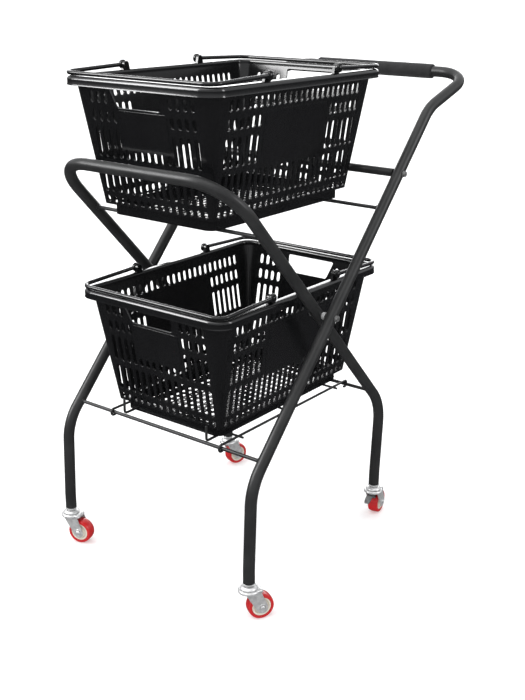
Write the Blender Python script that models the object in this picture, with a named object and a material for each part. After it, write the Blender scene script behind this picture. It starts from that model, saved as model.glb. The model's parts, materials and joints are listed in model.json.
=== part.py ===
"""Rolling basket trolley: two crossed tube frames on swivel casters, carrying two baskets.

Metres, +Z up.  The front of the trolley is -Y and the user stands at +Y.  The origin is on
the floor under the middle of the trolley.
"""
import math

import bmesh
import bpy
from mathutils import Matrix, Vector

GAP = 0.0003  # clearance between neighbouring solids
SIDES = (("left", -1), ("right", 1))

# Frame tubes: 22 mm tube with a 1.2 mm wall, centre lines in each side's YZ plane.
TUBE_R = 0.011
TUBE_WALL = 0.0012
TUBE_SIDES = 10
TUBE_END_Z = 0.075
UPRIGHT_END_Z = 0.105  # the legs splay a little above this height
HANDLE_X = 0.233
HANDLE_LEG_Y = -0.3622
HANDLE_BEND_YZ = (-0.3566, 0.2634)
HANDLE_KNEE_YZ = (0.2078, 0.869)
HANDLE_BAR_YZ = (0.3779, 0.923)
HANDLE_BEND_R = 0.10
HANDLE_KNEE_R = 0.09
HANDLE_CORNER_R = 0.07
HOOP_X = 0.2035
HOOP_LEG_Y = 0.1148
HOOP_BEND_YZ = (0.1232, 0.2621)
HOOP_BAR_YZ = (-0.3819, 0.7964)
HOOP_BEND_R = 0.10
HOOP_CORNER_R = 0.085
BEND_STEPS = 4

GRIP_R = 0.015
GRIP_BORE_R = 0.0115
GRIP_HALF_LENGTH = 0.145

# Bolts: M6 shanks in 6.8 mm holes.
BOLT_R = 0.003
BOLT_HOLE_R = 0.0034
BOLT_HEAD_R = 0.0058
BOLT_HEAD_T = 0.004
PIVOT_YZ = (-0.119, 0.5183)
SPACER_R = 0.007
NUT_T = 0.005
NUT_BORE_R = 0.0036
BRACE_YZ = (0.1013, 0.7547)
BRACE_R = 0.008
BRACE_BORE_DEPTH = 0.018

# Cross rods that carry the baskets, 7 mm, each held between the two tubes of one frame.
ROD_R = 0.0035
RODS = {
    "lower_front_rod": (HANDLE_X, -0.3225, 0.300),
    "lower_rear_rod": (HOOP_X, 0.0874, 0.300),
    "upper_front_rod": (HOOP_X, -0.2860, 0.695),
    "upper_rear_rod": (HANDLE_X, 0.0456, 0.695),
}

# Wire rack of the lower tier, 5 mm wire hooked round the two lower rods.
WIRE_R = 0.0025
WIRE_SIDES = 8
RAIL_X = 0.137
STOP_X = 0.104
STOP_TOP_Z = 0.335
STOP_BEND_R = 0.006
EYE_TURN = math.radians(210)
CROSS_R = 0.00225
CROSS_HALF_LENGTH = 0.143
CROSS_YS = (-0.266, -0.109, 0.048)

# Basket: half sizes of its outline, heights above the foot.
BASKET_HEIGHT = 0.248
FOOT_HALF = (0.119, 0.195)
FOOT_CORNER_R = 0.018
WALL_FOOT_HALF = (0.129, 0.205)
WALL_CORNER_R = (0.008, 0.024)  # at the ledge and at the rim
RIM_HALF = (0.1765, 0.2575)
RIM_CORNER_R = 0.035
FOOT_HEIGHT = 0.020
WALL_DRAFT = (0.1466, 0.1702)
SHELL_T = 0.003
RIM_DROP = 0.0165
RIM_CHAMFER = 0.0015
CORNER_STEPS = 4
BASKETS = {"upper": (-0.1265, 0.6988), "lower": (-0.110, 0.3091)}
# Grip opening in each short wall, seen from outside: its left and right ends at bottom and top.
HANDHOLD_Z = (0.198, 0.235)
HANDHOLD_LEFT = (-0.057, -0.072)
HANDHOLD_RIGHT = (0.042, 0.044)
HANDHOLD_Y = (0.225, 0.2505)

# Bails: one at each end of a basket, swinging on pins in lugs on the long rims.
BAIL_R = 0.00375
BAIL_SIDES = 8
BAIL_X = 0.1695
BAIL_PIVOT_Y = 0.104
BAIL_BAR_Y = 0.2505
BAIL_PIVOT_RISE = 0.0087
BAIL_CORNER_R = 0.022
EYE_R = 0.0083
EYE_BORE_R = 0.0035
EYE_HALF_T = 0.003
PIN_R = 0.003
PIN_HEAD_R = 0.0046
LUG_X = (0.1600, 0.1655)
LUG_HALF_Y = 0.006

# Casters, 50 mm wheel.  Local X runs from the stem axis towards the wheel, local Z up.
WHEEL_R = 0.025
WHEEL_HALF_W = 0.011
TRAIL = 0.0215
HUB_R = 0.0182
AXLE_R = 0.003
AXLE_HEAD_R = 0.0045
CHEEK_Y = (0.013, 0.015)
CHEEK_END_R = 0.0108
CROWN_R = 0.0203
CROWN_Z = (0.0595, 0.0630)
CROWN_TAIL = 0.0240
CHEEK_FRONT = -0.0125
HUB_HALF_W = 0.0095
BOSS_R = 0.007
BOSS_HALF_W = 0.0118
INSERT_TOP = 0.100
INSERT_R = 0.0090
INSERT_LIP_R = 0.0106
INSERT_LIP_T = 0.0025
STEM_R = 0.0055
STEM_TOP = 0.112
COLLAR_R = 0.0075
COLLAR_T = 0.0025
KINGPIN_R = 0.0032
RIVET_R = 0.005
RIVET_T = 0.0015
RACE_R = (0.0125, 0.0160)
RACE_T = 0.0018
BALL_R = 0.0014
BALL_RING_R = 0.0122
PEDAL_PIVOT = (-0.0035, 0.0535)
PEDAL_PIN_R = 0.0016
PEDAL_HALF_W = 0.0075
PEDAL_KNUCKLE_R = 0.003
# Side view of the brake lever from its knuckle: the shoe, the underside, the tip and the top.
PEDAL_LEVER = (
    (0.0022, -0.0125), (0, -0.0125), (-0.0022, -0.0025), (-0.0205, -0.0022),
    (-0.0345, -0.0100), (-0.0385, -0.0135), (-0.0395, -0.0120), (-0.0355, -0.0078),
    (-0.0205, 0.0003), (-0.0015, 0.0028))
CASTERS = {
    # name: (leg x, leg y, heading of the wheel in degrees from +X, has a brake)
    "front_left": (-HANDLE_X, HANDLE_LEG_Y, 17, False),
    "front_right": (HANDLE_X, HANDLE_LEG_Y, 58, False),
    "rear_left": (-HOOP_X, HOOP_LEG_Y, 72, False),
    "rear_right": (HOOP_X, HOOP_LEG_Y, 100, True),
}

# Finishes: colour, roughness, metallic.
BLACK_COAT = ((0.012, 0.012, 0.013), 0.38, 0.0)
FOAM = ((0.020, 0.020, 0.021), 0.85, 0.0)
ZINC = ((0.72, 0.73, 0.74), 0.28, 1.0)
BASKET_PLASTIC = ((0.010, 0.010, 0.011), 0.24, 0.0)
BAIL_PLASTIC = ((0.008, 0.008, 0.009), 0.20, 0.0)
HUB_PLASTIC = ((0.82, 0.79, 0.70), 0.45, 0.0)
RED_TREAD = ((0.52, 0.020, 0.020), 0.35, 0.0)


# ---------------------------------------------------------------- shape helpers

def rounded_path(corners, radii, steps=BEND_STEPS):
    """Points along a polyline whose inner corners are arcs; a radius of 0 keeps the corner."""
    path = [Vector(corners[0])]
    for index, radius in enumerate(radii):
        before, corner, after = (Vector(p) for p in corners[index:index + 3])
        if radius == 0:
            path.append(corner)
            continue
        into = (corner - before).normalized()
        out = (after - corner).normalized()
        turn = into.angle(out)
        start = corner - into * radius * math.tan(turn / 2)
        centre = start + (out - into * into.dot(out)).normalized() * radius
        axis = into.cross(out)
        for step in range(steps + 1):
            spin = Matrix.Rotation(turn * step / steps, 3, axis)
            path.append(centre + spin @ (start - centre))
    path.append(Vector(corners[-1]))
    return path


def ring_of(bm, centre, normal, side, radius, count):
    """A circle of vertices in the plane spanned by two unit vectors."""
    ring = []
    for index in range(count):
        angle = 2 * math.pi * index / count
        ring.append(bm.verts.new(centre + (normal * math.cos(angle) + side * math.sin(angle)) * radius))
    return ring


def join_rings(bm, first, second):
    """Faces between two rings with the same number of vertices."""
    for index in range(len(first)):
        following = (index + 1) % len(first)
        bm.faces.new((first[index], first[following], second[following], second[index]))


def sweep(bm, path, radius, sides, bore=0.0):
    """Carry a round section along a path; a bore makes it a tube with open ends."""
    outer = []
    inner = []
    normal = None
    tangent = None
    for index, point in enumerate(path):
        ahead = path[min(index + 1, len(path) - 1)]
        behind = path[max(index - 1, 0)]
        new_tangent = (ahead - behind).normalized()
        if normal is None:
            upright = Vector((1, 0, 0)) if abs(new_tangent.x) < 0.9 else Vector((0, 0, 1))
            normal = (upright - new_tangent * upright.dot(new_tangent)).normalized()
        else:
            normal = tangent.rotation_difference(new_tangent) @ normal
        tangent = new_tangent
        side = tangent.cross(normal)
        outer.append(ring_of(bm, point, normal, side, radius, sides))
        if bore:
            inner.append(ring_of(bm, point, normal, side, bore, sides))
    for first, second in zip(outer, outer[1:]):
        join_rings(bm, first, second)
    if bore:
        for first, second in zip(inner, inner[1:]):
            join_rings(bm, second, first)
        join_rings(bm, inner[0], outer[0])
        join_rings(bm, outer[-1], inner[-1])
    else:
        bm.faces.new(outer[0][::-1])
        bm.faces.new(outer[-1])


def revolve(bm, profile, segments, axis="Z", centre=(0, 0, 0), closed=True):
    """Turn (radius, height) points about an axis; an open profile ends on the axis."""
    frames = {
        "X": (Vector((0, 1, 0)), Vector((0, 0, 1)), Vector((1, 0, 0))),
        "Y": (Vector((0, 0, 1)), Vector((1, 0, 0)), Vector((0, 1, 0))),
        "Z": (Vector((1, 0, 0)), Vector((0, 1, 0)), Vector((0, 0, 1))),
    }
    normal, side, along = frames[axis]
    middle = Vector(centre)
    rings = [ring_of(bm, middle + along * h, normal, side, r, segments) for r, h in profile]
    for first, second in zip(rings, rings[1:]):
        join_rings(bm, first, second)
    if closed:
        join_rings(bm, rings[-1], rings[0])
    else:
        bm.faces.new(rings[0][::-1])
        bm.faces.new(rings[-1])


def cylinder(bm, radius, start, stop, segments, axis="X", centre=(0, 0, 0)):
    """A plain cylinder from start to stop along an axis."""
    revolve(bm, ((radius, start), (radius, stop)), segments, axis, centre, closed=False)


def prism(bm, outline, start, stop, place):
    """A flat outline extruded from start to stop; place(u, v, w) gives the 3-D point."""
    low = [bm.verts.new(place(u, v, start)) for u, v in outline]
    high = [bm.verts.new(place(u, v, stop)) for u, v in outline]
    join_rings(bm, low, high)
    bm.faces.new(low[::-1])
    bm.faces.new(high)


def arc(centre, radius, start, turn, steps):
    """Points of an arc, from the start angle through the turn, both in radians."""
    points = []
    for step in range(steps + 1):
        angle = start + turn * step / steps
        points.append((centre[0] + radius * math.cos(angle), centre[1] + radius * math.sin(angle)))
    return points


def rounded_rectangle(half_x, half_y, radius):
    """Outline of a rectangle with round corners, anticlockwise."""
    outline = []
    corners = ((1, 1, 0), (-1, 1, 90), (-1, -1, 180), (1, -1, 270))
    for sign_x, sign_y, start in corners:
        centre = (sign_x * (half_x - radius), sign_y * (half_y - radius))
        outline += arc(centre, radius, math.radians(start), math.pi / 2, CORNER_STEPS)
    return outline


def make(name, build, finish=None, parent=None, place=(0, 0, 0), cutter=False):
    """An object from a function that fills a bmesh; a cutter stays out of the model."""
    bm = bmesh.new()
    build(bm)
    bmesh.ops.recalc_face_normals(bm, faces=bm.faces)
    mesh = bpy.data.meshes.new(name)
    bm.to_mesh(mesh)
    bm.free()
    obj = bpy.data.objects.new(name, mesh)
    bpy.context.scene.collection.objects.link(obj)
    obj.location = place
    obj.parent = parent
    if cutter:
        obj.hide_render = True
        obj.display_type = "WIRE"
        return obj
    mesh.shade_smooth()
    mesh.set_sharp_from_angle(angle=math.radians(40))
    mesh.materials.append(material(name, finish))
    return obj


def material(name, finish):
    """A Principled material of one colour."""
    colour, roughness, metallic = finish
    result = bpy.data.materials.new(name)
    result.use_nodes = True
    shader = result.node_tree.nodes["Principled BSDF"]
    shader.inputs["Base Color"].default_value = (*colour, 1)
    shader.inputs["Roughness"].default_value = roughness
    shader.inputs["Metallic"].default_value = metallic
    return result


def combine(obj, other, operation):
    """Join another object to this one, or cut it away, with an exact Boolean."""
    boolean = obj.modifiers.new(other.name, "BOOLEAN")
    boolean.operation = operation
    boolean.solver = "EXACT"
    boolean.object = other


def empty(name, place, parent=None, turn=0.0):
    """An axis that moving pieces are placed under."""
    axis = bpy.data.objects.new(name, None)
    bpy.context.scene.collection.objects.link(axis)
    axis.location = place
    axis.rotation_euler.z = turn
    axis.parent = parent
    return axis


# ---------------------------------------------------------------- frames

def bent_frame(x, leg_y, side_points, side_radii, bar_yz, corner_r):
    """The centre line of a frame: up one side, across its bar and down the other side."""
    up = [(x, leg_y, TUBE_END_Z), (x, leg_y, UPRIGHT_END_Z)]
    up += [(x, y, z) for y, z in side_points] + [(x, *bar_yz)]
    down = [(-px, py, pz) for px, py, pz in reversed(up)]
    radii = [0, *side_radii, corner_r, corner_r, *reversed(side_radii), 0]
    return rounded_path(up + down, radii)


def hole_across(name, yz):
    """A cutter for one bolt hole through both tubes of a frame."""
    reach = HANDLE_X + 2 * TUBE_R
    return make(name, lambda bm: cylinder(bm, BOLT_HOLE_R, -reach, reach, 12, centre=(0, *yz)), cutter=True)


def build_frames():
    handle_path = bent_frame(
        HANDLE_X, HANDLE_LEG_Y, (HANDLE_BEND_YZ, HANDLE_KNEE_YZ), (HANDLE_BEND_R, HANDLE_KNEE_R),
        HANDLE_BAR_YZ, HANDLE_CORNER_R)
    hoop_path = bent_frame(
        HOOP_X, HOOP_LEG_Y, (HOOP_BEND_YZ,), (HOOP_BEND_R,), HOOP_BAR_YZ, HOOP_CORNER_R)
    bore = TUBE_R - TUBE_WALL
    handle = make("handle_frame", lambda bm: sweep(bm, handle_path, TUBE_R, TUBE_SIDES, bore), BLACK_COAT)
    hoop = make("front_hoop_frame", lambda bm: sweep(bm, hoop_path, TUBE_R, TUBE_SIDES, bore), BLACK_COAT)
    pivot_hole = hole_across("pivot_hole", PIVOT_YZ)
    combine(handle, pivot_hole, "DIFFERENCE")
    combine(hoop, pivot_hole, "DIFFERENCE")
    combine(handle, hole_across("brace_hole", BRACE_YZ), "DIFFERENCE")


def build_grip():
    half = GRIP_HALF_LENGTH
    profile = ((GRIP_BORE_R, -half), (GRIP_R, -half), (GRIP_R, half), (GRIP_BORE_R, half))
    make("handle_grip", lambda bm: revolve(bm, profile, 16, "X"), FOAM, place=(0, *HANDLE_BAR_YZ))


def build_brace():
    """The bar between the handle tubes, bored at both ends for its bolts."""
    end = HANDLE_X - TUBE_R - GAP
    bottom = end - BRACE_BORE_DEPTH
    profile = (
        (BOLT_HOLE_R, -bottom), (BOLT_HOLE_R, -end), (BRACE_R, -end),
        (BRACE_R, end), (BOLT_HOLE_R, end), (BOLT_HOLE_R, bottom))
    make(
        "brace_bar", lambda bm: revolve(bm, profile, 12, "X", closed=False), BLACK_COAT,
        place=(0, *BRACE_YZ))


def build_bolt(name, side, yz, inner_end):
    """A hex bolt with its head against the outside of a handle tube."""
    seat = HANDLE_X + TUBE_R + GAP

    def shape(bm):
        profile = ((BOLT_R, inner_end), (BOLT_R, seat + 0.001))
        revolve(bm, [(r, side * x) for r, x in profile], 10, "X", closed=False)

    def head(bm):
        cylinder(bm, BOLT_HEAD_R, side * seat, side * (seat + BOLT_HEAD_T), 6)

    bolt = make(name, shape, ZINC, place=(0, *yz))
    combine(bolt, make(f"{name}_head", head, place=(0, *yz), cutter=True), "UNION")


def build_pivot(word, side):
    """The bolt, spacer and nut that let the two frames cross."""
    hoop_outer = HOOP_X + TUBE_R + GAP
    handle_inner = HANDLE_X - TUBE_R - GAP
    nut_face = HOOP_X - TUBE_R - GAP
    build_bolt(f"pivot_bolt_{word}", side, PIVOT_YZ, nut_face - NUT_T - 0.0025)
    rings = (
        ("spacer", SPACER_R, BOLT_HOLE_R, hoop_outer, handle_inner, 12),
        ("nut", BOLT_HEAD_R, NUT_BORE_R, nut_face - NUT_T, nut_face, 6),
    )
    for piece, outer, bore, start, stop, count in rings:
        profile = ((bore, side * start), (outer, side * start), (outer, side * stop), (bore, side * stop))
        make(
            f"pivot_{piece}_{word}", lambda bm, p=profile, n=count: revolve(bm, p, n, "X"),
            ZINC, place=(0, *PIVOT_YZ))


def build_rods():
    for name, (tube_x, y, z) in RODS.items():
        half = tube_x - TUBE_R - GAP
        make(name, lambda bm, h=half: cylinder(bm, ROD_R, -h, h, 10), BLACK_COAT, place=(0, y, z))


# ---------------------------------------------------------------- lower rack

def build_rack():
    """Side rails with an eye round each rod, basket stops, and the wires across."""
    _, front_y, rod_z = RODS["lower_front_rod"]
    rear_y = RODS["lower_rear_rod"][1]
    eye_r = ROD_R + GAP + WIRE_R
    wire_z = rod_z + eye_r

    def rail(bm, x):
        front = arc((front_y, rod_z), eye_r, math.pi / 2 + EYE_TURN, -EYE_TURN, 8)
        rear = arc((rear_y, rod_z), eye_r, math.pi / 2, -EYE_TURN, 8)
        sweep(bm, [Vector((x, y, z)) for y, z in front + rear], WIRE_R, WIRE_SIDES)

    def stop(bm, x):
        foot_y = front_y - 0.0029
        corners = ((x, rear_y + 0.006, wire_z), (x, foot_y, wire_z), (x, foot_y, STOP_TOP_Z))
        sweep(bm, rounded_path(corners, (STOP_BEND_R,)), WIRE_R, WIRE_SIDES)

    rack = make("lower_rack", lambda bm: rail(bm, RAIL_X), BLACK_COAT)
    wires = []
    for index, y in enumerate(CROSS_YS):
        centre = (0, y, wire_z - WIRE_R - CROSS_R + 0.001)
        wires.append((
            f"cross_{index}",
            lambda bm, c=centre: cylinder(bm, CROSS_R, -CROSS_HALF_LENGTH, CROSS_HALF_LENGTH, 8, centre=c)))
    wires.append(("rail", lambda bm: rail(bm, -RAIL_X)))
    wires += [(f"stop_{word}", lambda bm, s=side: stop(bm, s * STOP_X)) for word, side in SIDES]
    for name, shape in wires:
        combine(rack, make(f"rack_{name}", shape, cutter=True), "UNION")


# ---------------------------------------------------------------- baskets and bails

def basket_section(offset, z):
    """Half sizes and corner radius of the wall's surface at a height, moved in by an offset."""
    rise = z - FOOT_HEIGHT
    half = [start + draft * rise - offset for start, draft in zip(WALL_FOOT_HALF, WALL_DRAFT)]
    foot_r, top_r = WALL_CORNER_R
    radius = foot_r + (top_r - foot_r) * rise / (BASKET_HEIGHT - FOOT_HEIGHT)
    return (*half, radius - offset, z)


def basket_shell(bm):
    """The outside from the foot up, over the rim and down the inside to the floor."""
    rim_x, rim_y = RIM_HALF
    foot_x, foot_y = FOOT_HALF
    plate = BASKET_HEIGHT - SHELL_T
    lip = BASKET_HEIGHT - RIM_DROP
    sections = (
        (foot_x, foot_y, FOOT_CORNER_R, 0),
        (foot_x, foot_y, FOOT_CORNER_R, FOOT_HEIGHT),
        basket_section(0, FOOT_HEIGHT),
        basket_section(0, plate),
        (rim_x - SHELL_T, rim_y - SHELL_T, RIM_CORNER_R - SHELL_T, plate),
        (rim_x - SHELL_T, rim_y - SHELL_T, RIM_CORNER_R - SHELL_T, lip),
        (rim_x, rim_y, RIM_CORNER_R, lip),
        (rim_x, rim_y, RIM_CORNER_R, BASKET_HEIGHT - RIM_CHAMFER),
        (rim_x - RIM_CHAMFER, rim_y - RIM_CHAMFER, RIM_CORNER_R - RIM_CHAMFER, BASKET_HEIGHT),
        basket_section(SHELL_T, BASKET_HEIGHT),
        basket_section(SHELL_T, FOOT_HEIGHT + SHELL_T),
        (foot_x - SHELL_T, foot_y - SHELL_T, FOOT_CORNER_R - SHELL_T, FOOT_HEIGHT + SHELL_T),
        (foot_x - SHELL_T, foot_y - SHELL_T, FOOT_CORNER_R - SHELL_T, SHELL_T),
    )
    rings = []
    for half_x, half_y, radius, z in sections:
        outline = rounded_rectangle(half_x, half_y, radius)
        rings.append([bm.verts.new((x, y, z)) for x, y in outline])
    for first, second in zip(rings, rings[1:]):
        join_rings(bm, first, second)
    bm.faces.new(rings[0][::-1])
    bm.faces.new(rings[-1])


def basket_lugs(bm):
    """Upright lugs on the long rims, one for each bail eye."""
    pivot_z = BASKET_HEIGHT + BAIL_PIVOT_RISE
    base = BASKET_HEIGHT - 0.0015
    outline = [(LUG_HALF_Y, base)] + arc((0, pivot_z), LUG_HALF_Y, 0, math.pi, 6) + [(-LUG_HALF_Y, base)]
    for _, side in SIDES:
        for end in (-1, 1):
            prism(bm, outline, side * LUG_X[0], side * LUG_X[1],
                  lambda u, v, w, e=end: (w, e * BAIL_PIVOT_Y + u, v))


def basket_pins(bm):
    """The headed pin that stands out of each lug."""
    head = BAIL_X + EYE_HALF_T + 2 * GAP
    profile = (
        (PIN_R, LUG_X[1] - 0.002), (PIN_R, head), (PIN_HEAD_R, head), (PIN_HEAD_R, head + 0.0024))
    for _, side in SIDES:
        for end in (-1, 1):
            centre = (0, end * BAIL_PIVOT_Y, BASKET_HEIGHT + BAIL_PIVOT_RISE)
            revolve(bm, [(r, side * x) for r, x in profile], 12, "X", centre, closed=False)


def basket_handholds(bm):
    """The cutters for the openings below the two short rims."""
    low, high = HANDHOLD_Z
    left_low, left_high = HANDHOLD_LEFT
    right_low, right_high = HANDHOLD_RIGHT
    outline = ((left_low, low), (right_low, low), (right_high, high), (left_high, high))
    for end in (-1, 1):
        prism(bm, outline, end * HANDHOLD_Y[0], end * HANDHOLD_Y[1], lambda u, v, w, e=end: (-e * u, w, v))


def build_basket(tier, middle_y, foot_z):
    place = (0, middle_y, foot_z)
    basket = make(f"{tier}_basket", basket_shell, BASKET_PLASTIC, place=place)
    for name, shape, operation in (
            ("lugs", basket_lugs, "UNION"),
            ("pins", basket_pins, "UNION"),
            ("handholds", basket_handholds, "DIFFERENCE")):
        combine(basket, make(f"{tier}_{name}", shape, place=place, cutter=True), operation)


def build_bail(tier, word, end, middle_y, foot_z):
    """A swinging handle; its origin is on the axis of its two pins."""
    pivot = (0, middle_y + end * BAIL_PIVOT_Y, foot_z + BASKET_HEIGHT + BAIL_PIVOT_RISE)
    bar_y = end * (BAIL_BAR_Y - BAIL_PIVOT_Y)
    bar_z = BAIL_R + GAP - BAIL_PIVOT_RISE
    start_y = end * (EYE_BORE_R + EYE_R) / 2
    start_z = bar_z * start_y / bar_y

    def rod(bm):
        up = [(BAIL_X, start_y, start_z), (BAIL_X, bar_y, bar_z)]
        corners = up + [(-x, y, z) for x, y, z in reversed(up)]
        sweep(bm, rounded_path(corners, (BAIL_CORNER_R, BAIL_CORNER_R)), BAIL_R, BAIL_SIDES)

    def eyes(bm):
        for _, side in SIDES:
            inner = side * (BAIL_X - EYE_HALF_T)
            outer = side * (BAIL_X + EYE_HALF_T)
            revolve(bm, ((EYE_BORE_R, inner), (EYE_R, inner), (EYE_R, outer), (EYE_BORE_R, outer)), 12, "X")

    def bores(bm):
        for _, side in SIDES:
            reach = 2 * EYE_HALF_T
            cylinder(bm, EYE_BORE_R, side * (BAIL_X - reach), side * (BAIL_X + reach), 12)

    name = f"{tier}_{word}_bail"
    bail = make(name, rod, BAIL_PLASTIC, place=pivot)
    combine(bail, make(f"{name}_eyes", eyes, place=pivot, cutter=True), "UNION")
    combine(bail, make(f"{name}_bores", bores, place=pivot, cutter=True), "DIFFERENCE")


# ---------------------------------------------------------------- casters

def tangent_angle(point, centre, radius, sense):
    """Where a line from a point touches a circle, as an angle at the circle's centre."""
    away = Vector(point) - Vector(centre)
    return math.atan2(away.y, away.x) + sense * math.acos(radius / away.length)


def cheek_outline():
    """Side view of a fork cheek: a wide root under the crown, rounded about the axle."""
    root_z = (CROWN_Z[0] + CROWN_Z[1]) / 2
    axle = (TRAIL, WHEEL_R)
    front = (CHEEK_FRONT, root_z)
    rear = (CROWN_TAIL, root_z)
    start = tangent_angle(rear, axle, CHEEK_END_R, -1)
    stop = tangent_angle(front, axle, CHEEK_END_R, 1) - 2 * math.pi
    return [front, rear] + arc(axle, CHEEK_END_R, start, stop - start, 6)


def crown_outline():
    """Plan of the crown: round about the stem, straight sided behind it."""
    half_width = CHEEK_Y[1]
    corner = math.asin(half_width / CROWN_R)
    round_front = arc((0, 0), CROWN_R, corner, 2 * (math.pi - corner), 12)
    return [(CROWN_TAIL, -half_width), (CROWN_TAIL, half_width)] + round_front


def build_fork(name, axis, braked):
    def crown(bm):
        prism(bm, crown_outline(), *CROWN_Z, lambda u, v, w: (u, v, w))

    def cheeks(bm):
        for _, side in SIDES:
            inner, outer = CHEEK_Y
            prism(bm, cheek_outline(), side * inner, side * outer, lambda u, v, w: (u, w, v))

    def holes(bm):
        cylinder(bm, KINGPIN_R + 2 * GAP, CROWN_Z[0] - 0.002, CROWN_Z[1] + 0.002, 10, "Z")
        reach = CHEEK_Y[1] + 0.002
        cylinder(bm, AXLE_R + 2 * GAP, -reach, reach, 10, "Y", (TRAIL, 0, WHEEL_R))
        if braked:
            pivot_x, pivot_z = PEDAL_PIVOT
            cylinder(bm, PEDAL_PIN_R + GAP, -reach, reach, 8, "Y", (pivot_x, 0, pivot_z))

    fork = make(f"{name}_fork", crown, ZINC, axis)
    combine(fork, make(f"{name}_cheeks", cheeks, parent=axis, cutter=True), "UNION")
    combine(fork, make(f"{name}_holes", holes, parent=axis, cutter=True), "DIFFERENCE")


def build_stem_parts(name, axis):
    """The insert in the leg, the riveted stem, and the bearing above the crown."""
    insert_base = TUBE_END_Z - GAP - INSERT_LIP_T
    bore_r = STEM_R + 0.0005
    insert = (
        (bore_r, insert_base), (INSERT_LIP_R, insert_base), (INSERT_LIP_R, TUBE_END_Z - GAP),
        (INSERT_R, TUBE_END_Z - GAP), (INSERT_R, INSERT_TOP), (bore_r, INSERT_TOP))
    collar_top = insert_base - GAP
    collar_base = collar_top - COLLAR_T
    rivet_top = CROWN_Z[0] - GAP
    stem = (
        (STEM_R, STEM_TOP), (STEM_R, collar_top), (COLLAR_R, collar_top), (COLLAR_R, collar_base),
        (KINGPIN_R, collar_base), (KINGPIN_R, rivet_top), (RIVET_R, rivet_top),
        (RIVET_R, rivet_top - RIVET_T))
    race_top = collar_base - GAP
    race_bore = KINGPIN_R + 2 * GAP
    race_base = CROWN_Z[1] + 2 * GAP
    shoulder_r, race_r = RACE_R
    race = (
        (race_bore, race_top), (shoulder_r, race_top), (race_r, race_top - 0.002), (race_r, race_base),
        (race_r - 0.0015, race_base), (race_r - 0.0015, race_top - RACE_T), (race_bore, race_top - RACE_T))
    balls = arc((BALL_RING_R, CROWN_Z[1] + GAP + BALL_R), BALL_R, 0, 2 * math.pi * 5 / 6, 5)
    make(f"{name}_leg_insert", lambda bm: revolve(bm, insert, 10), ZINC, axis)
    make(f"{name}_stem", lambda bm: revolve(bm, stem, 10, closed=False), ZINC, axis)
    make(f"{name}_race", lambda bm: revolve(bm, race, 16), ZINC, axis)
    make(f"{name}_ball_ring", lambda bm: revolve(bm, balls, 12), ZINC, axis)


def build_wheel(name, axis):
    """The wheel turns about its own empty on the axle, which stays with the fork."""
    wheel = empty(f"{name}_axle_axis", (TRAIL, 0, WHEEL_R), axis)
    half = WHEEL_HALF_W
    bore = AXLE_R + 2 * GAP
    hub = (
        (bore, -BOSS_HALF_W), (BOSS_R, -BOSS_HALF_W), (BOSS_R, -HUB_HALF_W), (HUB_R, -HUB_HALF_W),
        (HUB_R, HUB_HALF_W), (BOSS_R, HUB_HALF_W), (BOSS_R, BOSS_HALF_W), (bore, BOSS_HALF_W))
    inner = HUB_R + 0.0005
    tread = (
        (inner, -half), (WHEEL_R - 0.0025, -half), (WHEEL_R, -half + 0.004),
        (WHEEL_R, half - 0.004), (WHEEL_R - 0.0025, half), (inner, half))
    end = CHEEK_Y[1] + GAP
    axle = (
        (AXLE_HEAD_R, -end - 0.002), (AXLE_HEAD_R, -end), (AXLE_R, -end),
        (AXLE_R, end), (AXLE_HEAD_R, end), (AXLE_HEAD_R, end + 0.002))
    make(f"{name}_wheel_hub", lambda bm: revolve(bm, hub, 12, "Y"), HUB_PLASTIC, wheel)
    make(f"{name}_tread", lambda bm: revolve(bm, tread, 24, "Y"), RED_TREAD, wheel)
    make(f"{name}_axle", lambda bm: revolve(bm, axle, 10, "Y", closed=False), ZINC, wheel)


def build_brake(name, axis):
    """A stamped lever hinged between the cheeks; pressing it swings its shoe to the tread."""
    pivot_x, pivot_z = PEDAL_PIVOT
    hinge = empty(f"{name}_pedal_axis", (pivot_x, 0, pivot_z), axis)
    knuckle = arc((0, 0), PEDAL_KNUCKLE_R, math.radians(60), math.radians(-120), 4)
    outline = (*knuckle, *PEDAL_LEVER)

    def lever(bm):
        prism(bm, outline, -PEDAL_HALF_W, PEDAL_HALF_W, lambda u, v, w: (u, w, v))

    def bore(bm):
        cylinder(bm, PEDAL_PIN_R + GAP, -0.01, 0.01, 8, "Y")

    end = CHEEK_Y[1] + GAP
    pin = (
        (0.0028, -end - 0.0013), (0.0028, -end), (PEDAL_PIN_R, -end),
        (PEDAL_PIN_R, end), (0.0028, end), (0.0028, end + 0.0013))
    pedal = make(f"{name}_brake_pedal", lever, ZINC, hinge)
    combine(pedal, make(f"{name}_pedal_bore", bore, parent=hinge, cutter=True), "DIFFERENCE")
    make(f"{name}_pedal_pin", lambda bm: revolve(bm, pin, 8, "Y", closed=False), ZINC, hinge)


def build_caster(name, leg_x, leg_y, heading, braked):
    axis = empty(f"{name}_swivel_axis", (leg_x, leg_y, 0), turn=math.radians(heading))
    build_stem_parts(name, axis)
    build_fork(name, axis, braked)
    build_wheel(name, axis)
    if braked:
        build_brake(name, axis)


# ---------------------------------------------------------------- the trolley

def main():
    for old in list(bpy.data.objects):
        bpy.data.objects.remove(old)
    build_frames()
    build_grip()
    build_brace()
    for word, side in SIDES:
        build_pivot(word, side)
        build_bolt(f"brace_bolt_{word}", side, BRACE_YZ, HANDLE_X - TUBE_R - 0.016)
    build_rods()
    build_rack()
    for tier, (middle_y, foot_z) in BASKETS.items():
        build_basket(tier, middle_y, foot_z)
        for word, end in (("front", -1), ("rear", 1)):
            build_bail(tier, word, end, middle_y, foot_z)
    for name, (leg_x, leg_y, heading, braked) in CASTERS.items():
        build_caster(name, leg_x, leg_y, heading, braked)


main()
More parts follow.
